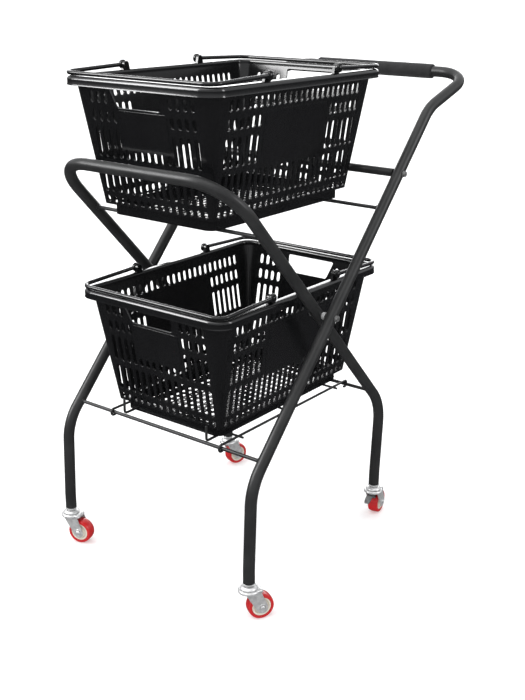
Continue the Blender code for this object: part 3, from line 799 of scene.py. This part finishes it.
def floor_grid(bm, u_breaks, v_breaks):
    """The floor's cells, each with its hole; returns the grid's vertices by their rounded place."""
    verts = {}

    def vert(u, v):
        key = (round(u, 6), round(v, 6))
        if key not in verts:
            verts[key] = bm.verts.new((u, v, SHELL_T))
        return verts[key]

    hole_outline = rounded_rectangle(*FLOOR_HOLE_HALF, FLOOR_HOLE_CORNER_R, 2)
    for u0, u1 in zip(u_breaks, u_breaks[1:]):
        for v0, v1 in zip(v_breaks, v_breaks[1:]):
            corners = [((u, v), vert(u, v)) for u, v in ((u0, v0), (u1, v0), (u1, v1), (u0, v1))]
            middle_u, middle_v = (u0 + u1) / 2, (v0 + v1) / 2
            outline = [(middle_u + u, middle_v + v) for u, v in hole_outline]
            pierced_face(bm, corners, [((u, v), bm.verts.new((u, v, SHELL_T))) for u, v in outline])
    return verts


def slot_columns(short, row):
    """Middles of the slots of one row, each with its slot's top where that differs."""
    if short:
        under_panel = SHORT_MIDDLE_TOP if row == 2 else None
        half = [(step * SHORT_PITCH, under_panel if step < 4 else None) for step in range(8)]
        if row > 2:
            half = half[4:]
        return [(-u, top) for u, top in reversed(half) if u] + half
    first = 6 if row in (2, 3) else 0
    half = [((step + 0.5) * LONG_PITCH, None) for step in range(first, 12)]
    return [(-u, top) for u, top in reversed(half)] + half


def fill_row(bm, at, ends, band, slots):
    """One strip of wall between two heights; slots are (start of cell, end of cell, outline)."""
    z0, z1 = band
    low = [ends[0]]
    high = [ends[1]]
    cells = [None]
    for start, stop, outline in slots:
        for u in (start, stop):
            if low[-1][0][0] < u - 1e-6 or len(low) == 1:
                low.append(((u, z0), bm.verts.new(at(u, z0))))
                high.append(((u, z1), bm.verts.new(at(u, z1))))
                cells.append(None)
        cells[-2] = outline
    low.append(ends[2])
    high.append(ends[3])
    for index in range(len(low) - 1):
        corners = [low[index], low[index + 1], high[index + 1], high[index]]
        outline = cells[index]
        if outline is None:
            bm.faces.new([corner for _, corner in corners])
            continue
        hole = [((u, z), bm.verts.new(at(u, z))) for u, z in outline]
        pierced_face(bm, corners, hole)
    return [vert for _, vert in low], [vert for _, vert in high]


def row_slots(short, row):
    """The slots of one row as (start of its cell, end of its cell, outline)."""
    low, high = ROW_SLOTS[row]
    half_cell = (SHORT_PITCH if short else LONG_PITCH) / 2
    flat = wall_flat_half(short, ROW_BANDS[row][0]) - 0.0003
    slots = []
    for middle, top in slot_columns(short, row):
        start = max(middle - half_cell, -flat)
        stop = min(middle + half_cell, flat)
        slots.append((start, stop, stadium(middle, low, top or high, SLOT_HALF_W)))
    if short and row == 4:
        start = HANDHOLD_LEFT[1] - HANDHOLD_MARGIN
        stop = HANDHOLD_RIGHT[1] + HANDHOLD_MARGIN
        before = [slot for slot in slots if slot[1] < start]
        after = [slot for slot in slots if slot[0] > stop]
        slots = before + [(start, stop, handhold_outline())] + after
    return slots


def wall_section(z, offset=SHELL_T):
    """Half sizes and corner radius of the wall's inner surface at a height."""
    rise = z - FOOT_HEIGHT
    half = [start + draft * rise - offset for start, draft in zip(WALL_FOOT_HALF, WALL_DRAFT)]
    foot_r, top_r = WALL_CORNER_R
    radius = foot_r + (top_r - foot_r) * rise / (BASKET_HEIGHT - FOOT_HEIGHT)
    return (*half, radius - offset, z)


def wall_flat_half(short, z):
    """Half the length of the flat part of a wall at a height."""
    half_x, half_y, radius, _ = wall_section(z)
    return (half_x if short else half_y) - radius


def rim_sections():
    """From the top of the wall over the rim and down its fascia."""
    wall_x, wall_y, wall_r, _ = wall_section(WALL_TOP)
    rim_x, rim_y = RIM_HALF
    sections = []
    inner_r = RIM_INNER_R
    for out, z in arc((inner_r, BASKET_HEIGHT - inner_r), inner_r, math.pi, -math.pi / 2, 5):
        sections.append((wall_x + out, wall_y + out, wall_r + out, z))
    outer_r = RIM_OUTER_R
    for out, z in arc((-outer_r, BASKET_HEIGHT - outer_r - 0.0005), outer_r, math.pi / 2, -math.pi / 2, 9):
        inset = out - RIM_LEAN
        sections.append((rim_x + inset, rim_y + inset, RIM_CORNER_R + inset, z))
    lip = BASKET_HEIGHT - RIM_DROP
    sections.append((rim_x - 0.0006, rim_y - 0.0006, RIM_CORNER_R, lip + 0.0024))
    sections.append((rim_x, rim_y, RIM_CORNER_R, lip))
    return sections


def section_ring(bm, section):
    half_x, half_y, radius, z = section
    return [bm.verts.new((x, y, z)) for x, y in rounded_rectangle(half_x, half_y, radius)]


def basket_floor(bm, floor_ring):
    """The pierced floor inside the foot's ring; returns the range of its vertices' numbers."""
    u_pitch, v_pitch = FLOOR_PITCH
    columns, rows = FLOOR_CELLS
    half_u = u_pitch * columns / 2
    half_v = v_pitch * rows / 2
    u_breaks = [-half_u + u_pitch * step for step in range(columns + 1)]
    v_breaks = [-half_v + v_pitch * step for step in range(rows + 1)]
    first_vert = len(bm.verts)
    grid = floor_grid(bm, u_breaks, v_breaks)
    floor_verts = range(first_vert, len(bm.verts))
    edges = (
        [(u, half_v) for u in reversed(u_breaks)], [(-half_u, v) for v in reversed(v_breaks)],
        [(u, -half_v) for u in u_breaks], [(half_u, v) for v in v_breaks])
    for side, edge in enumerate(edges):
        start = side * CORNER_POINTS + CORNER_STEPS // 2
        outer = [floor_ring[step % len(floor_ring)] for step in range(start, start + CORNER_POINTS + 1)]
        inner = [grid[round(u, 6), round(v, 6)] for u, v in edge]
        bm.faces.new(outer + inner[::-1])
    return floor_verts


def basket_walls(bm, ledge_ring):
    """Round corners with pierced walls between them; returns the ring along their top."""
    levels = sorted({z for band in ROW_BANDS for z in band} | {WALL_TOP})
    rings = [section_ring(bm, wall_section(z)) for z in levels]
    for lower, upper in zip([ledge_ring, *rings], rings):
        for side in range(4):
            first = side * CORNER_POINTS
            for step in range(first, first + CORNER_STEPS):
                bm.faces.new((lower[step], lower[step + 1], upper[step + 1], upper[step]))
    for side, (along, out, axis) in enumerate(WALL_DIRECTIONS):
        first = side * CORNER_POINTS + CORNER_STEPS
        following = (first + 1) % len(ledge_ring)

        def at(u, z, along=along, out=out, axis=axis):
            return along * u + out * wall_section(z)[axis] + Vector((0, 0, z))

        below = [ledge_ring[first], ledge_ring[following]]
        for row, band in enumerate(ROW_BANDS):
            ends = []
            for corner in (first, following):
                for z in band:
                    vert = rings[levels.index(z)][corner]
                    ends.append(((vert.co.dot(along), z), vert))
            low, high = fill_row(bm, at, ends, band, row_slots(axis == 1, row))
            bm.faces.new(below + low[::-1])
            below = high
        bm.faces.new(below + [rings[-1][following], rings[-1][first]])
    return rings[-1]


def basket_sheet(bm):
    """The inner skin: floor, foot and pierced walls, then over the rim and down its outside."""
    thickness = bm.verts.layers.deform.verify()
    foot = (FOOT_HALF[0] - SHELL_T, FOOT_HALF[1] - SHELL_T, FOOT_CORNER_R - SHELL_T)
    floor_ring = section_ring(bm, (*foot, SHELL_T))
    ledge_ring = section_ring(bm, (*foot, FOOT_HEIGHT + SHELL_T))
    join_rings(bm, floor_ring, ledge_ring)
    floor_verts = basket_floor(bm, floor_ring)
    previous = basket_walls(bm, ledge_ring)
    for section in rim_sections():
        current = section_ring(bm, section)
        join_rings(bm, previous, current)
        previous = current
    for index, vert in enumerate(bm.verts):
        vert[thickness][0] = FLOOR_T / SHELL_T if index in floor_verts else 1


def build_basket_mesh():
    """The whole moulding, made once and used by both baskets."""
    basket = solid_from("basket_moulding", basket_sheet)
    floor_face = min(basket.data.polygons, key=lambda face: face.center.z)
    if floor_face.normal.z < 0:
        basket.data.flip_normals()
    solidify = basket.modifiers.new("wall", "SOLIDIFY")
    solidify.thickness = SHELL_T
    solidify.offset = -1
    solidify.use_even_offset = True
    solidify.vertex_group = basket.vertex_groups.new(name="thickness").name
    apply_modifiers(basket)
    soften_edges(basket, 0.00045, 1, 40)
    mesh = basket.data
    bpy.data.objects.remove(basket)
    return mesh


def basket_lugs(bm):
    """Upright lugs on the long rims with their headed pins."""
    pivot_z = BASKET_HEIGHT + BAIL_PIVOT_RISE
    base = BASKET_HEIGHT - 0.0015
    outline = [(LUG_HALF_Y + 0.0025, base)]
    outline += arc((0, pivot_z), LUG_HALF_Y, 0, math.pi, 16)
    outline += [(-LUG_HALF_Y - 0.0025, base)]
    head = BAIL_X + EYE_HALF_T + 0.0002
    pin = [(PIN_R, LUG_X[1] - 0.002), (PIN_R, head), (PIN_HEAD_R, head)]
    pin += [(r, head + rise * PIN_HEAD_DOME) for r, rise in arc((0, 0), PIN_HEAD_R, 0, math.pi * 0.46, 8)]
    for _, side in SIDES:
        for _, end in ENDS:
            middle_y = end * BAIL_PIVOT_Y
            prism(bm, outline, side * LUG_X[0], side * LUG_X[1],
                  lambda u, v, w, y=middle_y: (w, y + u, v))
            turned = [(r, side * x) for r, x in pin]
            revolve(bm, turned, 24, "X", (0, middle_y, pivot_z), closed=False)


def label_panels(bm):
    """Raised blank plates, one on each wall."""
    for along, out, axis in WALL_DIRECTIONS:
        half, low, high = SHORT_PANEL if axis == 1 else LONG_PANEL
        middle = (low + high) / 2
        outline = rounded_rectangle(half, (high - low) / 2, PANEL_CORNER_R, 4)
        face = (out + Vector((0, 0, -WALL_DRAFT[axis]))).normalized()

        def place(u, v, w, along=along, out=out, axis=axis, face=face, middle=middle):
            z = middle + v
            surface = wall_section(z, 0)[axis]
            return along * u + out * surface + Vector((0, 0, z)) + face * w

        prism(bm, outline, -PANEL_SUNK, PANEL_T, place)


def build_baskets():
    mesh = build_basket_mesh()
    for tier in ("upper", "lower"):
        low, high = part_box(f"{tier}_basket")
        place = Matrix.Translation((0, (low.y + high.y) / 2, low.z))
        basket = bpy.data.objects.new(f"{tier}_basket_moulding", mesh)
        bpy.context.scene.collection.objects.link(basket)
        finish_piece(basket, "basket_plastic", f"{tier}_basket", (f"{tier}_basket",), place)
        piece(f"{tier}_basket_panels", label_panels, "basket_plastic", f"{tier}_basket", (), place, 0.0004)
        piece(f"{tier}_basket_lugs", basket_lugs, "basket_plastic", f"{tier}_basket", (), place, 0.0006)


def build_bail(tier, word, end):
    """A swinging handle with a fat round eye at each end."""
    name = f"{tier}_{word}_bail"
    bar_y = end * (BAIL_BAR_Y - BAIL_PIVOT_Y)
    bar_z = BAIL_R + 0.0003 - BAIL_PIVOT_RISE
    start_y = end * (EYE_BORE_R + EYE_R) / 2
    start_z = bar_z * start_y / bar_y
    up = [(BAIL_X, start_y, start_z), (BAIL_X, bar_y, bar_z)]
    corners = up + [(-x, y, z) for x, y, z in reversed(up)]
    path = rounded_path(corners, (BAIL_CORNER_R, BAIL_CORNER_R), 12)

    def eyes(bm):
        for _, side in SIDES:
            inner = BAIL_X - EYE_HALF_T
            outer = BAIL_X + EYE_HALF_T
            profile = softened(
                ((EYE_BORE_R, inner), (EYE_R, inner), (EYE_R, outer), (EYE_BORE_R, outer)), 0.0030, 6)
            revolve(bm, [(r, side * x) for r, x in profile], 36, "X")

    bail = solid_from(f"{name}_handle", lambda bm: sweep(bm, path, BAIL_R, 24))
    unite(bail, eyes)
    place = Matrix.Translation(joint_place(f"{name}_swing"))
    finish_piece(bail, "bail_plastic", name, (name,), place, 50)


# ---------------------------------------------------------------- casters

def tangent_angle(point, centre, radius, sense):
    """Where a line from a point touches a circle, as an angle at the circle's centre."""
    away = Vector(point) - Vector(centre)
    return math.atan2(away.y, away.x) + sense * math.acos(radius / away.length)


def crown_sheet(bm):
    """The top of a stamped fork: a raised flat crown, a rolled lip and a tail with round corners."""
    corner = math.asin(CHEEK_Y[1] / CROWN_R)
    quarter = math.pi / 2
    middle = CROWN_TAIL - CROWN_TAIL_R
    corner_y = CHEEK_Y[1] - CROWN_TAIL_R
    outline = arc((middle, -corner_y), CROWN_TAIL_R, -quarter, quarter, 6)
    outline += arc((middle, corner_y), CROWN_TAIL_R, 0, quarter, 6)
    outline += arc((0, 0), CROWN_R, corner, 2 * (math.pi - corner), 40)
    rings = []
    for scale, z in CROWN_SECTION:
        rings.append([bm.verts.new((x * scale, y * scale, z)) for x, y in outline])
    for first, second in zip(rings, rings[1:]):
        join_rings(bm, first, second)


def cheek_outline(trail, wheel_r):
    """Side view of a fork cheek: a wide root under the crown, rounded about the axle."""
    root_z = 0.0612
    axle = (trail, wheel_r)
    front = (CHEEK_FRONT, root_z)
    rear = (CROWN_TAIL - CROWN_TAIL_R, root_z)
    start = tangent_angle(rear, axle, CHEEK_END_R, -1)
    stop = tangent_angle(front, axle, CHEEK_END_R, 1) - 2 * math.pi
    return [front, rear] + arc(axle, CHEEK_END_R, start, stop - start, 18)


def build_fork(name, place, trail, wheel_r):
    crown = solid_from(f"{name}_fork_crown", crown_sheet)
    if crown.data.polygons[-1].normal.z < 0:
        crown.data.flip_normals()
    solidify = crown.modifiers.new("sheet", "SOLIDIFY")
    solidify.thickness = SHEET_T
    solidify.offset = -1
    apply_modifiers(crown)
    finish_piece(crown, "bright_zinc", f"{name}_fork", (f"{name}_fork",), place, 45)

    def cheeks(bm):
        for _, side in SIDES:
            inner, outer = CHEEK_Y
            prism(bm, cheek_outline(trail, wheel_r), side * inner, side * outer, lambda u, v, w: (u, w, v))
            embossed = softened((
                (AXLE_R, outer - 0.0005), (0.0084, outer - 0.0005), (0.0078, outer + 0.0006),
                (0.0058, outer + 0.0006), (0.0052, outer + 0.0001), (AXLE_R, outer + 0.0001)), 0.0004, 2)
            revolve(bm, [(r, side * y) for r, y in embossed], 32, "Y", (trail, 0, wheel_r))

    piece(f"{name}_fork_cheeks", cheeks, "bright_zinc", f"{name}_fork", (), place, 0.0005)


def build_stem_parts(name, place):
    """The insert in the leg, the riveted stem, and the bearing above the crown."""
    top = TUBE_END_Z - 0.0003
    insert_base = top - 0.0028
    insert = softened((
        (STEM_R + 0.0003, insert_base), (0.0112, insert_base), (0.0112, top), (0.0095, top),
        (0.0095, 0.100), (STEM_R + 0.0003, 0.100)), 0.0006, 3)
    collar_top = insert_base - 0.0002
    stem = softened((
        (STEM_R, 0.112), (STEM_R, collar_top), (0.0080, collar_top), (0.0080, collar_top - 0.0025),
        (0.0032, collar_top - 0.0025), (0.0032, 0.0612), (0.0055, 0.0602), (0.0050, 0.0585),
        (0.0010, 0.0578)), 0.0004, 2, closed=False)
    race_top = collar_top - 0.0026
    race = softened((
        (0.0036, race_top), (0.0120, race_top), (0.0158, race_top - 0.0030), (0.0164, 0.0636),
        (0.0150, 0.0636), (0.0142, race_top - 0.0034), (0.0112, race_top - 0.0016),
        (0.0036, race_top - 0.0016)), 0.0012, 4)
    shapes = (
        ("leg_insert", "leg_bush", insert, True), ("stem", "kingpin", stem, False),
        ("race", "swivel_race", race, True))
    for node, label, profile, closed in shapes:
        piece(f"{name}_{label}", lambda bm, p=profile, c=closed: revolve(bm, p, 40, closed=c),
              "bright_zinc", "frame", (f"{name}_{node}",), place)

    def balls(bm):
        for x, y in arc((0, 0), BALL_CIRCLE_R, 0, 2 * math.pi, BALL_COUNT)[:-1]:
            centre = Matrix.Translation((x, y, BALL_Z))
            bmesh.ops.create_uvsphere(bm, u_segments=12, v_segments=8, radius=BALL_R, matrix=centre)

    piece(f"{name}_swivel_balls", balls, "bright_zinc", "frame", (f"{name}_ball_ring",), place)


def build_wheel(name, place, trail, wheel_r):
    """A moulded core with a recessed web, and its polyurethane tread."""
    body = f"{name}_wheel"
    wheel = place @ Matrix.Translation((trail, 0, wheel_r))
    side_half = [
        (0.0120, 0.0036), (0.0120, 0.0066), (0.0090, 0.0074), (0.0064, 0.0084), (0.0062, 0.0138),
        (0.0088, 0.0148), (0.0100, 0.0156), (0.0100, HUB_R)]
    hub = [(r, -y) for y, r in side_half] + [(r, y) for y, r in reversed(side_half)]
    half = WHEEL_HALF_W
    inner = HUB_R + 0.0002
    tread = [(inner, -half + 0.0006), (inner + 0.0008, -half)]
    crown = []
    for step in range(13):
        angle = math.pi * (step / 12 - 0.5)
        bulge = abs(math.cos(angle)) ** 0.35
        crown.append((wheel_r - 0.0040 + 0.0040 * bulge, half * 0.98 * math.sin(angle)))
    tread += crown + [(inner + 0.0008, half), (inner, half - 0.0006)]
    core = softened(hub, 0.0008, 3)
    piece(f"{name}_core", lambda bm: revolve(bm, core, 56, "Y"),
          "hub_plastic", body, (f"{name}_wheel_hub",), wheel)
    piece(f"{name}_tyre", lambda bm: revolve(bm, tread, 64, "Y"),
          "red_tread", body, (f"{name}_tread",), wheel, sharp=50)
    head = CHEEK_Y[1] + 0.0006
    axle = [(0.0012, -head - 0.0021), (0.0034, -head - 0.0017), (0.0047, -head - 0.0002), (0.0047, -head),
            (AXLE_R, -head)]
    axle += [(r, -y) for r, y in reversed(axle)]
    rivet = softened(axle, 0.0003, 2, closed=False)
    piece(f"{name}_axle_rivet", lambda bm: revolve(bm, rivet, 28, "Y", closed=False),
          "bright_zinc", f"{name}_fork", (f"{name}_axle",), wheel)


def build_brake(name, place):
    """A stamped lever with a turned-down, rounded toe, on a riveted pin."""
    hinge = place.inverted() @ joint_place(f"{name}_brake")
    knuckle = arc((0, 0), 0.0031, math.radians(60), math.radians(-120), 8)
    lever = knuckle + [
        (0.0022, -0.0118), (0.0012, -0.0125), (0, -0.0118), (-0.0018, -0.0030), (-0.0040, -0.0024),
        (-0.0205, -0.0020), (-0.0280, -0.0045), (-0.0320, -0.0072), (-0.0350, -0.0098), (-0.0362, -0.0085),
        (-0.0332, -0.0054), (-0.0285, -0.0026), (-0.0205, 0.0003), (-0.0040, 0.0024), (-0.0015, 0.0028)]
    start_x, tip_x = -0.012, -0.030
    near, far = PEDAL_HALF_W

    def shape(bm):
        slices = 9
        rings = []
        for index in range(slices):
            across = 2 * index / (slices - 1) - 1
            ring = []
            for x, z in lever:
                spread = min(max((start_x - x) / (start_x - tip_x), 0), 1)
                toe = min(max((TOE_X[0] - x) / (TOE_X[0] - TOE_X[1]), 0), 1)
                half = (near + (far - near) * spread) * math.sqrt(1 - TOE_ROUNDING * toe * toe)
                dish = 0.0012 * spread * (across * across)
                ring.append(bm.verts.new((x, across * half, z - dish)))
            rings.append(ring)
        for first, second in zip(rings, rings[1:]):
            join_rings(bm, first, second)
        bm.faces.new(rings[0][::-1])
        bm.faces.new(rings[-1])

    hinged = place @ Matrix.Translation(hinge)
    # The lever takes the darkened zinc copy: its dark tone is painted shade
    piece(f"{name}_brake_lever", shape, "zinc_in_painted_shade", f"{name}_pedal",
          (f"{name}_brake_pedal",), hinged, 0.0003)
    end = CHEEK_Y[1] + 0.0001
    pin = [(0.0010, -end - 0.0015), (0.0026, -end - 0.0012), (0.0030, -end), (PEDAL_PIN_R, -end)]
    pin += [(r, -y) for r, y in reversed(pin)]
    piece(f"{name}_lever_rivet", lambda bm: revolve(bm, pin, 20, "Y", closed=False), "bright_zinc",
          f"{name}_fork", (f"{name}_pedal_pin",), hinged)


def build_casters():
    for name in CASTER_NAMES:
        stem = joint_place(f"{name}_swivel")
        axle = joint_place(f"{name}_roll")
        reach = Vector((axle.x - stem.x, axle.y - stem.y))
        heading = math.atan2(reach.y, reach.x)
        place = Matrix.Translation((stem.x, stem.y, 0)) @ Matrix.Rotation(heading, 4, "Z")
        build_stem_parts(name, place)
        build_fork(name, place, reach.length, axle.z)
        build_wheel(name, place, reach.length, axle.z)
        if f"{name}_brake" in JOINTS:
            build_brake(name, place)


# ---------------------------------------------------------------- studio

def build_floor():
    material, nodes, links, shader, coords = new_material("studio_floor")
    grain = noise_node(nodes, links, coords, 3, 2)
    colour = ramp_node(nodes, links, grain, ((0.3, (0.76, 0.76, 0.76)), (0.7, (0.78, 0.78, 0.78))))
    links.new(colour, shader.inputs["Base Color"])
    shader.inputs["Roughness"].default_value = 0.9
    shader.inputs["Specular IOR Level"].default_value = 0.1
    shader.inputs["Emission Color"].default_value = (1, 1, 1, 1)
    shader.inputs["Emission Strength"].default_value = 0.32
    bm = bmesh.new()
    bmesh.ops.create_circle(bm, cap_ends=True, segments=64, radius=90)
    mesh = bpy.data.meshes.new("studio_floor")
    bm.to_mesh(mesh)
    bm.free()
    mesh.materials.append(material)
    floor = bpy.data.objects.new("studio_floor", mesh)
    bpy.context.scene.collection.objects.link(floor)
    floor.visible_glossy = False


def build_world():
    """Soft light from all round: dark below the horizon, brightest a little above it."""
    world = bpy.data.worlds.new("studio")
    world.use_nodes = True
    nodes = world.node_tree.nodes
    links = world.node_tree.links
    coords = nodes.new("ShaderNodeTexCoord")
    split = nodes.new("ShaderNodeSeparateXYZ")
    links.new(coords.outputs["Generated"], split.inputs["Vector"])
    ramp = ramp_node(nodes, links, split.outputs["Z"], (
        (0.0, (0.08, 0.08, 0.085)), (0.05, (0.30, 0.30, 0.31)), (0.20, (1.25, 1.27, 1.30)),
        (1.0, (1.0, 1.0, 1.0))))
    links.new(ramp, nodes["Background"].inputs["Color"])
    nodes["Background"].inputs["Strength"].default_value = 0.85
    bpy.context.scene.world = world


def area_light(name, place, target, size, energy):
    data = bpy.data.lights.new(name, "AREA")
    data.shape = "RECTANGLE"
    data.size, data.size_y = size
    data.energy = energy
    light = bpy.data.objects.new(name, data)
    light.location = place
    light.rotation_euler = (Vector(target) - Vector(place)).to_track_quat("-Z", "Y").to_euler()
    light.visible_camera = False
    light.visible_diffuse = False
    bpy.context.scene.collection.objects.link(light)


def build_lights():
    sun = bpy.data.lights.new("overhead", "SUN")
    sun.energy = 2.1
    sun.angle = math.radians(70)
    overhead = bpy.data.objects.new("overhead", sun)
    overhead.rotation_euler = (math.radians(14), math.radians(-12), 0)
    bpy.context.scene.collection.objects.link(overhead)
    area_light("front_softbox", (-2.3, -2.6, 2.45), (0, -0.3, 0.9), (1.3, 2.1), 190)
    area_light("back_softbox", (-2.0, 2.8, 1.35), (0, 0, 0.8), (3.2, 1.2), 60)
    area_light("side_softbox", (3.0, 1.0, 2.2), (0.1, 0, 0.6), (0.6, 1.6), 40)


def build_camera():
    """The camera on the trolley's front right, looking down, with a slight roll."""
    azimuth = math.radians(CAMERA_AZIMUTH)
    elevation = math.radians(CAMERA_ELEVATION)
    roll = math.radians(CAMERA_ROLL)
    flat = math.cos(elevation)
    back = Vector((math.sin(azimuth) * flat, -math.cos(azimuth) * flat, math.sin(elevation)))
    level_right = Vector((math.cos(azimuth), math.sin(azimuth), 0))
    level_up = back.cross(level_right)
    right = level_right * math.cos(roll) + level_up * math.sin(roll)
    up = level_up * math.cos(roll) - level_right * math.sin(roll)
    data = bpy.data.cameras.new("camera")
    data.sensor_fit = "HORIZONTAL"
    data.sensor_width = CAMERA_SENSOR
    data.lens = CAMERA_LENS
    camera = bpy.data.objects.new("camera", data)
    turn = Matrix((right, up, back)).transposed().to_4x4()
    camera.matrix_world = Matrix.Translation(Vector(CAMERA_TARGET) + back * CAMERA_DISTANCE) @ turn
    bpy.context.scene.collection.objects.link(camera)
    bpy.context.scene.camera = camera


# ---------------------------------------------------------------- the trolley

MATERIALS = build_materials()
build_frames()
build_grip()
build_brace()
build_pivots_and_bolts()
build_rods()
build_rack()
build_baskets()
for tier_name in ("upper", "lower"):
    for end_name, end_sign in ENDS:
        build_bail(tier_name, end_name, end_sign)
build_casters()
build_floor()
build_world()
build_lights()
build_camera()
bpy.context.scene.view_settings.view_transform = "Standard"
